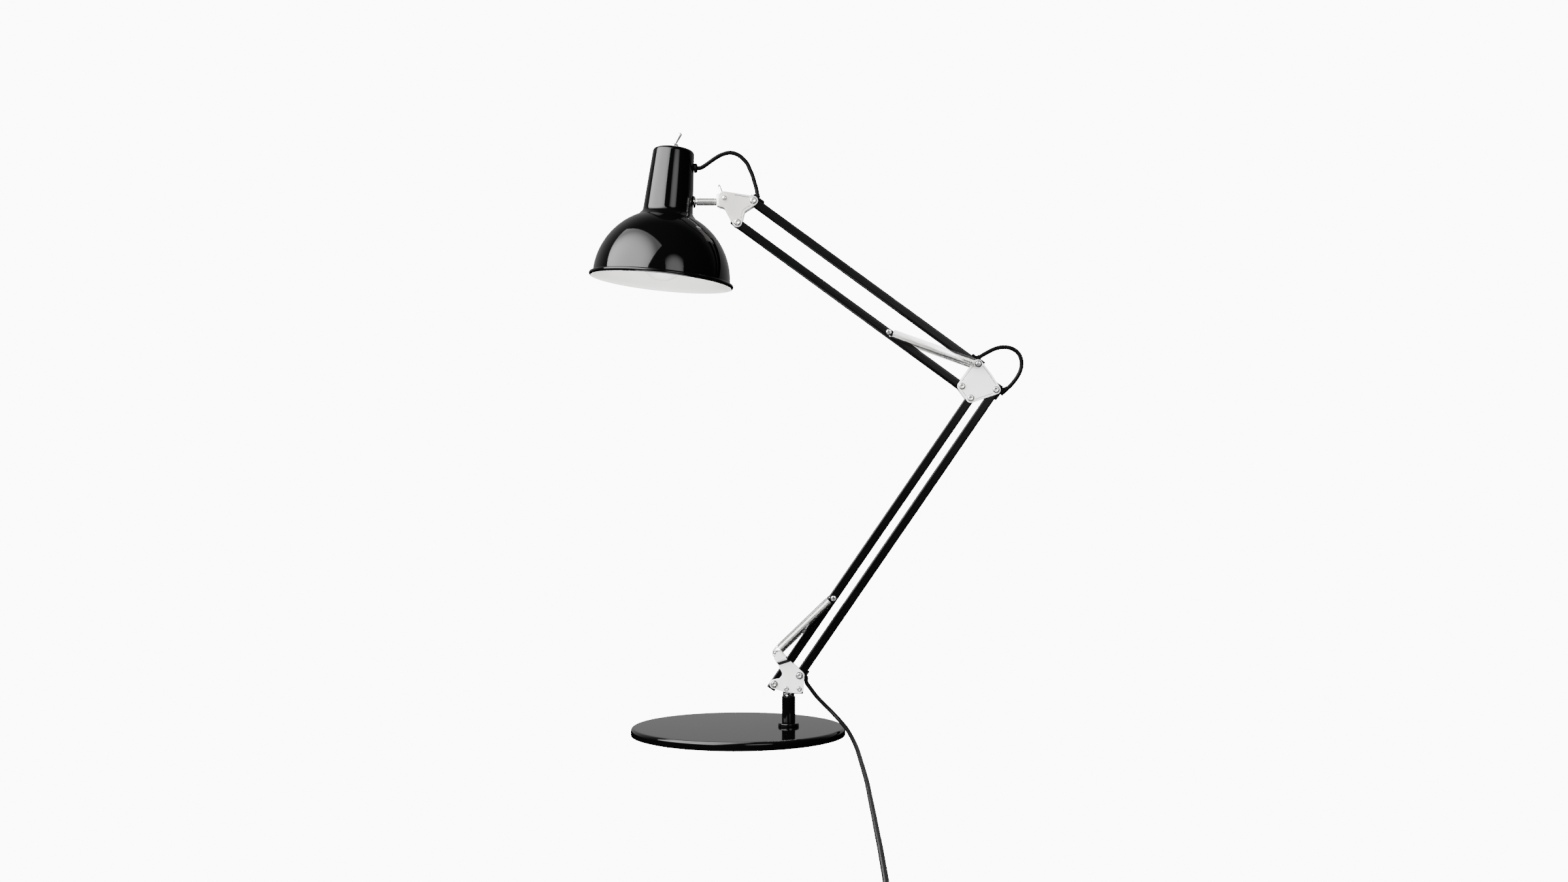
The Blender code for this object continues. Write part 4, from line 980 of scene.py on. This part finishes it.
for side, name in ((-1, "front"), (1, "back")):
    bm, turns = pull_spring(spring_plane(spring_anchor, side), spring_plane(lower_pin, side), 0.00132,
                            (0.0074, 0.0062), (0.0041, 0.0033))
    # The lower spring's hook round the stud gets the painted shade.
    for face in bm.faces:
        from_stud = face.calc_center_median() - spring_plane(spring_anchor, side)
        face.material_index = 1 if from_stud.length < 0.0062 else 0
    spring = keep("lower_spring_" + name + "_shown", bm, [spring_wire, shaded_metal], None,
                  "lower_spring_" + name,
                  60)
    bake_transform(spring)
    print(spring.name, turns, "turns")
    bm, turns = pull_spring(spring_plane(point_d, side), spring_plane(upper_pin, side), 0.00200,
                            (0.0050, 0.0058), (0.0033, 0.0033))
    spring = keep("upper_spring_" + name + "_shown", bm, spring_wire, None, "upper_spring_" + name,
                  60)
    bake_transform(spring)
    print(spring.name, turns, "turns")

# %% Spring pins
for name, spot, owner in (("lower_spring_pin", lower_pin, "lower_arm_left"),
                          ("upper_spring_pin", upper_pin, "upper_arm_bottom"),
                          ("elbow_spring_pin", point_d, "elbow")):
    through_pin(name + "_shown", spot, owner, 0.0158, 0.00475, 0.0024, name, recess=20)

# %% [markdown]
# ## Elbow
# Two pressed plates, kite shaped, with a lobe at each pivot. A thin line is pressed in beside the edge, and
# its faces carry a painted shade.

# %% Elbow plates and rivets
elbow_rivets = [flat(point_e), flat(point_f), flat(point_g), flat(point_d)]
elbow_corners = [(*flat(point_e), 0.0063), (*flat(point_f), 0.0063), (*flat(point_g), 0.0063),
                 (0.3479, 0.4971, 0.0), (*flat(point_d), 0.0068)]


def elbow_relief(spots, gap):
    return 0.0 * gap, *groove(spots, gap, elbow_rivets)


for side, name in ((-1, "front"), (1, "back")):
    bm = pressed_plate(elbow_corners, elbow_rivets, side, elbow_relief, near_groove)
    keep("elbow_plate_" + name + "_shown", bm, [nickel, shaded_metal], "elbow", "elbow_plate_" + name,
         50)
for key, spot in (("e", point_e), ("f", point_f), ("g", point_g)):
    through_pin("elbow_rivet_" + key + "_shown", spot, "elbow", plate_face, 0.0046, 0.0022,
                "elbow_rivet_" + key)

# %% [markdown]
# ## Head
# The head bracket holds a nickel knuckle between its two plates. A bolt clamps it, with a wing nut behind.
# The plated rod of the knuckle carries the shade, between a cup washer and a nut.

# %% Head plates, rivets and clamp bolt
head_rivets = [flat(point_a), flat(point_b), flat(point_c)]
head_corners = [(-0.0273, 0.7363, 0.0), (-0.0267, 0.7272, 0.0), (-0.0224, 0.7264, 0.0),
                (-0.0185, 0.7247, 0.0), (*flat(point_c), 0.0065), (0.0093, 0.7200, 0.0),
                (*flat(point_b), 0.0065), (-0.0198, 0.7480, 0.0), (-0.0258, 0.7452, 0.0)]


def head_relief(spots, gap):
    """The pressed line shows most along the top edge, towards the arm, and by the lower arm's lobe."""
    top_edge = (spots[:, 1] > 0.7395) & (spots[:, 0] > -0.0045)
    lower_edge = (spots[:, 0] > -0.0010) & (spots[:, 1] < 0.7330)
    deep, line = groove(spots, gap, head_rivets, 0.00042)
    faint, _ = groove(spots, gap, head_rivets, 0.00006)
    shown = top_edge | lower_edge
    # Only the deep stretches of the pressed line get the painted shade.
    return 0.0 * gap, numpy.where(shown, deep, faint), line & shown


for side, name in ((-1, "front"), (1, "back")):
    bm = pressed_plate(head_corners, head_rivets, side, head_relief, near_groove)
    keep("head_plate_" + name + "_shown", bm, [head_nickel_painted_shade, shaded_metal], "head_bracket",
         "head_plate_" + name,
         50)
for key, spot in (("top", point_b), ("bottom", point_c)):
    through_pin("head_rivet_" + key + "_shown", spot, "head_bracket", plate_face, 0.0046, 0.0022,
                "head_rivet_" + key)
bolt = [(0.0, 0.0020), (0.0012, 0.0020), (0.0024, 0.0017), (0.0031, 0.0011), (0.0034, 0.0005),
        (0.0034, 0.0)]
bolt = [(r, plate_face + h) for r, h in bolt] + [(0.0024, plate_face), (0.0024, -0.0060)]
for step in range(13):
    bolt += [(0.0024, -0.0062 - step * 0.0007), (0.0021, -0.00655 - step * 0.0007)]
bolt += [(0.0020, -0.0153), (0.0018, -0.0155), (0.0, -0.0155)]
keep("clamp_bolt_shown", turn(bolt, point_a, (0, -1, 0), 48), rivet_nickel, "head_bracket", "clamp_bolt")

# %% Wing nut
hub = [(0.0027, 0.0138), (0.0031, 0.0140), (0.0042, 0.0140), (0.0046, 0.0137), (0.0049, 0.0110),
       (0.0052, 0.0092), (0.0052, 0.0084), (0.0050, 0.0082), (0.0030, 0.0082), (0.0027, 0.0085)]
wing_lean = math.radians(21.4)
wing_way = Vector((-math.sin(wing_lean), 0.0, math.cos(wing_lean)))
paddle = [(0.0038, 0.0092), (0.0080, 0.0090), (0.0135, 0.0094), (0.0190, 0.0104), (0.0224, 0.0116),
          (0.0240, 0.0132), (0.0242, 0.0148), (0.0234, 0.0159), (0.0200, 0.0161), (0.0150, 0.0155),
          (0.0100, 0.0144), (0.0062, 0.0138), (0.0038, 0.0136)]
wings = []
for sign in (1, -1):
    across = wing_way * sign
    frame_of = axes(point_a, across, across.cross(Vector((0, 1, 0))))
    wings.append(slab(paddle, 0.0034, 0.0010, frame_of))
keep("wing_nut_shown", join(turn(hub, point_a, (0, 1, 0), 48), *wings), rivet_nickel, "wing_nut",
     "wing_nut")

# %% Knuckle, rod, cup washer and nut
knuckle = cut(block((0.0215, 0.0118, 0.0175), axes((-0.0188, 0.0, 0.7364), (1, 0, 0), up), 0.0016, 4),
              rod(0.0027, -0.02, 0.02, point_a, (0, -1, 0)))
keep("knuckle_block_shown", knuckle, nickel, "head_rod", "knuckle_block")
rod_height = 0.7345
bar = [(0.0, 0.0415), (0.0024, 0.0415), (0.0028, 0.0411)]
for step in range(17):
    bar += [(0.0028, 0.0408 - step * 0.0007), (0.0025, 0.04045 - step * 0.0007)]
bar += [(0.0028, 0.0285), (0.0028, 0.0281), (0.0042, 0.0281), (0.0047, 0.0279), (0.0050, 0.0274),
        (0.0050, 0.0262), (0.0047, 0.0259), (0.0047, 0.0254), (0.0050, 0.0251), (0.0050, 0.0030),
        (0.0046, 0.0026), (0.0046, 0.0020), (0.0049, 0.0016), (0.0049, 0.0006), (0.0042, 0.0), (0.0, 0.0)]
keep("head_bar_shown", turn(bar, (-0.0299, 0.0, rod_height), (-1, 0, 0), 64), rivet_nickel, "head_rod",
     "head_bar")
washer = [(0.0031, 0.0034), (0.0050, 0.0034), (0.0062, 0.0031), (0.0073, 0.0025), (0.0081, 0.0017),
          (0.0085, 0.0010), (0.0085, 0.0006), (0.0081, 0.0001), (0.0062, 0.0), (0.0031, 0.0)]
keep("cup_washer_shown", turn(washer, (-0.0619, 0.0, rod_height), (1, 0, 0), 64), chrome, "head_rod",
     "cup_washer")
nut = [(0.0035, 0.0040), (0.0055, 0.0040), (0.0065, 0.0035), (0.0065, 0.0005), (0.0055, 0.0),
       (0.0035, 0.0)]
keep("rod_nut_shown", turn(nut, (-0.0695, 0.0, rod_height), (1, 0, 0), 6), plain_steel, "head_rod",
     "rod_nut", 20)

# %% [markdown]
# ## Shade
# The shade is spun in one piece: a dome with a rolled lip, a small fillet and a slightly tapered neck. It
# is enamelled outside and sprayed white inside. It leans a little, so every piece in it is drawn about the
# same leaning axis.

# %% Shade shell
shade_tilt = math.radians(5.5)
shade_rim = Vector((-0.1062, 0.0, 0.6243))
shade_axis = Vector((math.sin(shade_tilt), 0.0, math.cos(shade_tilt)))


def dome(radius, height, first, last, steps):
    """Points of the dome's half ellipse, upwards from the lip."""
    angles = [math.radians(first + (last - first) * step / steps) for step in range(steps + 1)]
    return [(radius * math.cos(angle), 0.0030 + height * math.sin(angle)) for angle in angles]


outer_neck = [(0.0378, 0.0925), (0.0363, 0.0938), (0.0352, 0.0957), (0.0346, 0.0978), (0.0343, 0.1000),
              (0.0324, 0.1270), (0.0304, 0.1540), (0.0286, 0.1780), (0.0284, 0.1794), (0.0279, 0.1807),
              (0.0270, 0.1818), (0.0256, 0.1828), (0.0235, 0.1837), (0.0190, 0.1849), (0.0140, 0.1860),
              (0.0090, 0.1867), (0.0042, 0.1870)]
inner_neck = [(0.0366, 0.0922), (0.0351, 0.0934), (0.0340, 0.0955), (0.0334, 0.0977), (0.0331, 0.1000),
              (0.0312, 0.1270), (0.0292, 0.1540), (0.0274, 0.1778), (0.0272, 0.1788), (0.0268, 0.1797),
              (0.0260, 0.1806), (0.0250, 0.1815), (0.0233, 0.1824), (0.0188, 0.1837), (0.0138, 0.1848),
              (0.0089, 0.1855), (0.0042, 0.1858)]
lip = arc(0.0970, 0.0022, 0.0029, 138, -150, 14)
shell_profile = list(reversed(outer_neck)) + list(reversed(dome(0.0948, 0.0955, 2, 65, 32))) + lip \
    + dome(0.0936, 0.0943, 1, 65, 32) + inner_neck
shell = turn(shell_profile, shade_rim, shade_axis, 128)
shell = cut(shell, rod(0.0034, -0.01, 0.01, (-0.0630, 0.0, rod_height), (1, 0, 0)),
            rod(0.0042, -0.01, 0.01, (-0.0620, 0.0, neck_exit.z), (1, 0, 0)))
shell.normal_update()
for face in shell.faces:
    offset = face.calc_center_median() - shade_rim
    height = offset.dot(shade_axis)
    radial = offset - shade_axis * height
    inward = face.normal.dot(radial.normalized()) < -0.05
    inward |= height > 0.03 and face.normal.dot(shade_axis) < -0.3
    facing_in = face.normal.dot(radial.normalized()) < 0.12
    inward |= height < 0.0045 and face.normal.dot(shade_axis) < 0.2 and facing_in
    face.material_index = 1 if inward else 0
keep("shade_shell_shown", shell, [gloss_black, white_paint], "shade", "shade_shell", 40)

# %% Lampholder, plate, bulb and neck grommet
plate = [(0.0054, 0.1530), (0.0280, 0.1530), (0.0284, 0.1526), (0.0285, 0.1515), (0.0054, 0.1515)]
keep("holder_plate_shown", turn(plate, shade_rim, shade_axis, 64), plain_steel, "shade", "holder_plate")
holder = [(0.0, 0.1565), (0.0050, 0.1565), (0.0050, 0.1511), (0.0172, 0.1511), (0.0190, 0.1504),
          (0.0198, 0.1490), (0.0200, 0.1470)]
for step in range(4):
    low = 0.1380 - step * 0.0080
    holder += [(0.0200, low), (0.0194, low - 0.0006), (0.0194, low - 0.0016), (0.0200, low - 0.0022)]
holder += [(0.0200, 0.0870), (0.0195, 0.0862), (0.0186, 0.0860), (0.0152, 0.0860), (0.0146, 0.0866),
           (0.0146, 0.1120), (0.0, 0.1120)]
keep("lampholder_shown", turn(holder, shade_rim, shade_axis, 64), white_glaze, "shade", "lampholder")
cap = [(0.0, 0.1060), (0.0052, 0.1060), (0.0060, 0.1054), (0.0080, 0.1046), (0.0122, 0.1030)]
for step in range(6):
    top = 0.1022 - step * 0.0036
    cap += [(0.0129, top), (0.0129, top - 0.0010), (0.0121, top - 0.0018), (0.0121, top - 0.0028)]
cap += [(0.0126, 0.0805), (0.0119, 0.0805), (0.0119, 0.1010), (0.0, 0.1030)]
keep("bulb_cap_shown", turn(cap, shade_rim, shade_axis, 64), plain_steel, "shade", "bulb_cap")
ball = [(0.0300 * math.sin(math.radians(a)), 0.0315 - 0.0300 * math.cos(math.radians(a)))
        for a in range(0, 121, 5)]
throat = [(0.0236, 0.0510), (0.0209, 0.0560), (0.0181, 0.0610), (0.0158, 0.0660), (0.0140, 0.0715),
          (0.0126, 0.0765), (0.0117, 0.0805), (0.0116, 0.0840)]
inner = [(max(0.0, 0.965 * r - 0.0001), 0.0009 + 0.965 * (h - 0.0315) + 0.0315) for r, h in ball + throat]
inner[0] = (0.0, inner[0][1])
inner[-1] = (0.0108, 0.0840)
keep("bulb_glass_shown", turn(ball + throat + list(reversed(inner)), shade_rim, shade_axis, 64),
     etched_glass, "shade", "bulb_glass")
ring = [(0.0, 0.0048), (0.0036, 0.0048), (0.0040, 0.0044), (0.0052, 0.0043), (0.0062, 0.0036),
        (0.0065, 0.0028), (0.0065, 0.0008), (0.0061, 0.0), (0.0038, 0.0), (0.0038, -0.0030),
        (0.0034, -0.0034), (0.0, -0.0034)]
keep("neck_grommet_shown", turn(ring, (neck_exit.x - 0.0051, 0.0, neck_exit.z), (1, 0, 0), 48),
     rubber_black, "shade", "neck_grommet")

# %% Toggle switch
switch = [(0.0, 0.1845), (0.0032, 0.1845), (0.0032, 0.1909), (0.0034, 0.1912), (0.0037, 0.1912)]
for step in range(4):
    switch += [(0.0038, 0.1910 - step * 0.0007), (0.0036, 0.19065 - step * 0.0007)]
switch += [(0.0038, 0.1878), (0.0038, 0.1830), (0.0080, 0.1830), (0.0085, 0.1825), (0.0085, 0.1595),
           (0.0080, 0.1590), (0.0, 0.1590)]
keep("toggle_body_shown", turn(switch, shade_rim, shade_axis, 48), plastic_black, "shade", "toggle_body")
nut = [(0.0041, 0.1907), (0.0053, 0.1907), (0.0060, 0.1902), (0.0060, 0.1878), (0.0053, 0.1873),
       (0.0041, 0.1873)]
keep("toggle_nut_shown", turn(nut, shade_rim, shade_axis, 6), rivet_nickel, "shade", "toggle_nut",
     20)
lean = shade_tilt + math.radians(21.5)
lever = [(0.0, 0.0198), (0.0009, 0.0197), (0.0017, 0.0193), (0.0023, 0.0187), (0.0026, 0.0179),
         (0.0027, 0.0168), (0.0026, 0.0152), (0.0023, 0.0110), (0.0020, 0.0060), (0.0017, 0.0040),
         (0.0016, 0.0034), (0.0016, -0.0030), (0.0012, -0.0033), (0.0, -0.0034)]
keep("toggle_lever_shown", turn(lever, point_t, (math.sin(lean), 0.0, math.cos(lean)), 32), rivet_nickel,
     "toggle_lever", "toggle_lever")

# %% [markdown]
# ## Plug and tie
# The lead ends in a moulded two-pin plug with a ribbed sleeve. A soft tie holds the spare turns together.

# %% Plug, pins and tie
plug_middle = Vector((plug_start.x + 0.0450, plug_start.y, 0.0072))
plug_frame = axes(plug_middle, (1, 0, 0), up)
shape = [(-0.0150, -0.0098), (-0.0120, -0.0140), (-0.0060, -0.0168), (0.0040, -0.0175), (0.0118, -0.0175),
         (0.0150, -0.0150), (0.0150, 0.0150), (0.0118, 0.0175), (0.0040, 0.0175), (-0.0060, 0.0168),
         (-0.0120, 0.0140), (-0.0150, 0.0098)]
body = slab(shape, 0.0140, 0.0026, plug_frame)
grips = []
for step in range(5):
    for side in (-1, 1):
        spot = plug_middle + Vector((-0.0045 + step * 0.0030, side * 0.0176, 0.0))
        grips.append(block((0.0011, 0.0016, 0.0100), axes(spot, (1, 0, 0), up), 0.0003, 1))
sleeve = [(0.0, 0.0320), (0.0058, 0.0320)]
for step in range(7):
    reach = 0.0300 - step * 0.0042
    thick = 0.0056 - step * 0.00034
    sleeve += [(thick, reach), (thick, reach - 0.0022), (thick - 0.0009, reach - 0.0026),
               (thick - 0.0009, reach - 0.0038)]
sleeve += [(0.0034, 0.0004), (0.0032, 0.0), (0.0, 0.0)]
plug_body = keep("plug_body", join(cut(body, *grips), turn(sleeve, plug_start, (1, 0, 0), 40)),
                 plastic_black, "base", "plug")
pins = []
for side in (-1, 1):
    start = plug_middle + Vector((0.0149, side * 0.0090, 0.0))
    pins.append(turn([(0.0, 0.0191), (0.0010, 0.0190), (0.0017, 0.0184), (0.0020, 0.0174), (0.0020, 0.0),
                      (0.0, 0.0)], start, (1, 0, 0), 24))
plug_pins = keep("plug_pins", join(*pins), rivet_nickel, "base", ())
tie_middle = Vector((coil_centre.x - 0.0320, coil_centre.y, 0.0065))
band = [Vector((tie_middle.x + 0.0073 * math.cos(a), tie_middle.y, tie_middle.z + 0.0056 * math.sin(a)))
        for a in (2 * math.pi * step / 40 for step in range(41))]
tie = keep("cord_tie", drawn_wire(smooth_route(band, 0.0009), 0.0008, 3), rubber_black, "base", ())

# %% [markdown]
# ## Room and light
# The lamp is shown cut out on white, so there is no floor and the room is white to the camera only. The
# lights are glowing panels, all in front. A tall one on the left makes the long soft streak on the shade and
# lights the plates, a dimmer one on the right makes the second streak, and a card under the shade throws
# light into it. Two fills brighten the plates and don't show in reflections. The room behind is grey above
# the horizon, and the top of the base picks that up at a grazing angle.

# %% Softboxes
def softbox(name, azimuth, height, distance, width, tall, radiance, edge, target, glossy=True):
    """A glowing panel, dimmer away from its middle. Azimuth 0 is at the camera, positive to the right."""
    angle = math.radians(azimuth)
    aim = Vector(target)
    spot = Vector((aim.x + distance * math.sin(angle), aim.y - distance * math.cos(angle), height))
    facing = (aim - spot).to_track_quat("Z", "Y").to_matrix()
    bm = bmesh.new()
    bmesh.ops.create_grid(bm, x_segments=1, y_segments=1, size=0.5)
    bm.transform(Matrix.Translation(spot) @ facing.to_4x4() @ Matrix.Diagonal((width, tall, 1, 1)))
    glow = bpy.data.materials.new(name)
    glow.use_nodes = True
    nodes, links = glow.node_tree.nodes, glow.node_tree.links
    nodes.clear()
    coordinates = nodes.new("ShaderNodeTexCoord")
    squares = []
    for column, size, middle in ((0, width, 0.0), (1, tall, -0.45)):
        along = facing.col[column] * (2 / size)
        reach = nodes.new("ShaderNodeVectorMath")
        reach.operation = "DOT_PRODUCT"
        reach.inputs[1].default_value = along
        links.new(coordinates.outputs["Object"], reach.inputs[0])
        centred = nodes.new("ShaderNodeMath")
        centred.operation = "SUBTRACT"
        centred.inputs[1].default_value = along.dot(spot) + middle
        links.new(reach.outputs["Value"], centred.inputs[0])
        square = nodes.new("ShaderNodeMath")
        square.operation = "POWER"
        square.inputs[1].default_value = 2.0
        links.new(centred.outputs["Value"], square.inputs[0])
        squares.append(square)
    away = nodes.new("ShaderNodeMath")
    away.operation = "ADD"
    for side, square in enumerate(squares):
        links.new(square.outputs["Value"], away.inputs[side])
    fall = nodes.new("ShaderNodeMapRange")
    fall.interpolation_type = "SMOOTHSTEP"
    fall.inputs["From Min"].default_value = 0.02
    fall.inputs["From Max"].default_value = 2.00
    fall.inputs["To Min"].default_value = radiance
    fall.inputs["To Max"].default_value = radiance * edge
    links.new(away.outputs["Value"], fall.inputs["Value"])
    emission = nodes.new("ShaderNodeEmission")
    links.new(fall.outputs["Result"], emission.inputs["Strength"])
    output = nodes.new("ShaderNodeOutputMaterial")
    links.new(emission.outputs["Emission"], output.inputs["Surface"])
    panel = keep(name.replace(" ", "_"), bm, glow, None)
    panel.visible_camera = False
    panel.visible_glossy = glossy
    panel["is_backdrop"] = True
    return panel


softbox("softbox left", -59, 1.75, 1.6, 3.1, 2.3, 23.0, 0.18, (0.05, 0.0, 0.55))
softbox("softbox right", 25, 1.45, 2.4, 1.3, 1.6, 6.5, 0.0, (-0.05, 0.0, 0.60))
softbox("card under the shade", -20, 0.30, 0.12, 0.30, 0.30, 16.0, 0.6, (-0.10, 0.0, 0.64))
softbox("low fill", -8, 0.16, 0.60, 0.30, 0.30, 28.0, 0.6, (0.07, 0.0, 0.09), False)
softbox("high fill", -4, 0.60, 2.0, 1.5, 1.5, 6.0, 0.6, (0.15, 0.0, 0.55), False)

# %% World
world = bpy.data.worlds.new("white room")
bpy.context.scene.world = world
world.use_nodes = True
nodes, links = world.node_tree.nodes, world.node_tree.links
nodes.clear()
coordinates = nodes.new("ShaderNodeTexCoord")
split = nodes.new("ShaderNodeSeparateXYZ")
links.new(coordinates.outputs["Object"], split.inputs["Vector"])
behind = nodes.new("ShaderNodeMapRange")
behind.interpolation_type = "SMOOTHSTEP"
behind.inputs["From Min"].default_value = 0.10
behind.inputs["From Max"].default_value = 0.75
behind.inputs["To Min"].default_value = 0.03
behind.inputs["To Max"].default_value = 0.40
links.new(split.outputs["Y"], behind.inputs["Value"])
above = nodes.new("ShaderNodeMapRange")
above.interpolation_type = "SMOOTHSTEP"
above.inputs["From Min"].default_value = -0.02
above.inputs["From Max"].default_value = 0.06
links.new(split.outputs["Z"], above.inputs["Value"])
product = nodes.new("ShaderNodeMath")
product.operation = "MULTIPLY"
links.new(behind.outputs["Result"], product.inputs[0])
links.new(above.outputs["Result"], product.inputs[1])
room = nodes.new("ShaderNodeBackground")
room.inputs["Color"].default_value = (1.0, 1.0, 1.0, 1.0)
links.new(product.outputs["Value"], room.inputs["Strength"])
seen = nodes.new("ShaderNodeBackground")
seen.inputs["Color"].default_value = (1.0, 1.0, 1.0, 1.0)
seen.inputs["Strength"].default_value = 11.0
path = nodes.new("ShaderNodeLightPath")
mixed = nodes.new("ShaderNodeMixShader")
result = nodes.new("ShaderNodeOutputWorld")
links.new(path.outputs["Is Camera Ray"], mixed.inputs["Fac"])
links.new(room.outputs["Background"], mixed.inputs[1])
links.new(seen.outputs["Background"], mixed.inputs[2])
links.new(mixed.outputs["Shader"], result.inputs["Surface"])

# %% [markdown]
# ## Size
# The dressed lamp has to keep the size of the working model, so both boxes are printed side by side.

# %% Size
shown_box = [list(map(float, corner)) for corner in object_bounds()]
for label, low, high in (("working model", *cad_box), ("dressed lamp", *shown_box)):
    print(label, [round(1000 * (b - a), 1) for a, b in zip(low, high)], "mm")
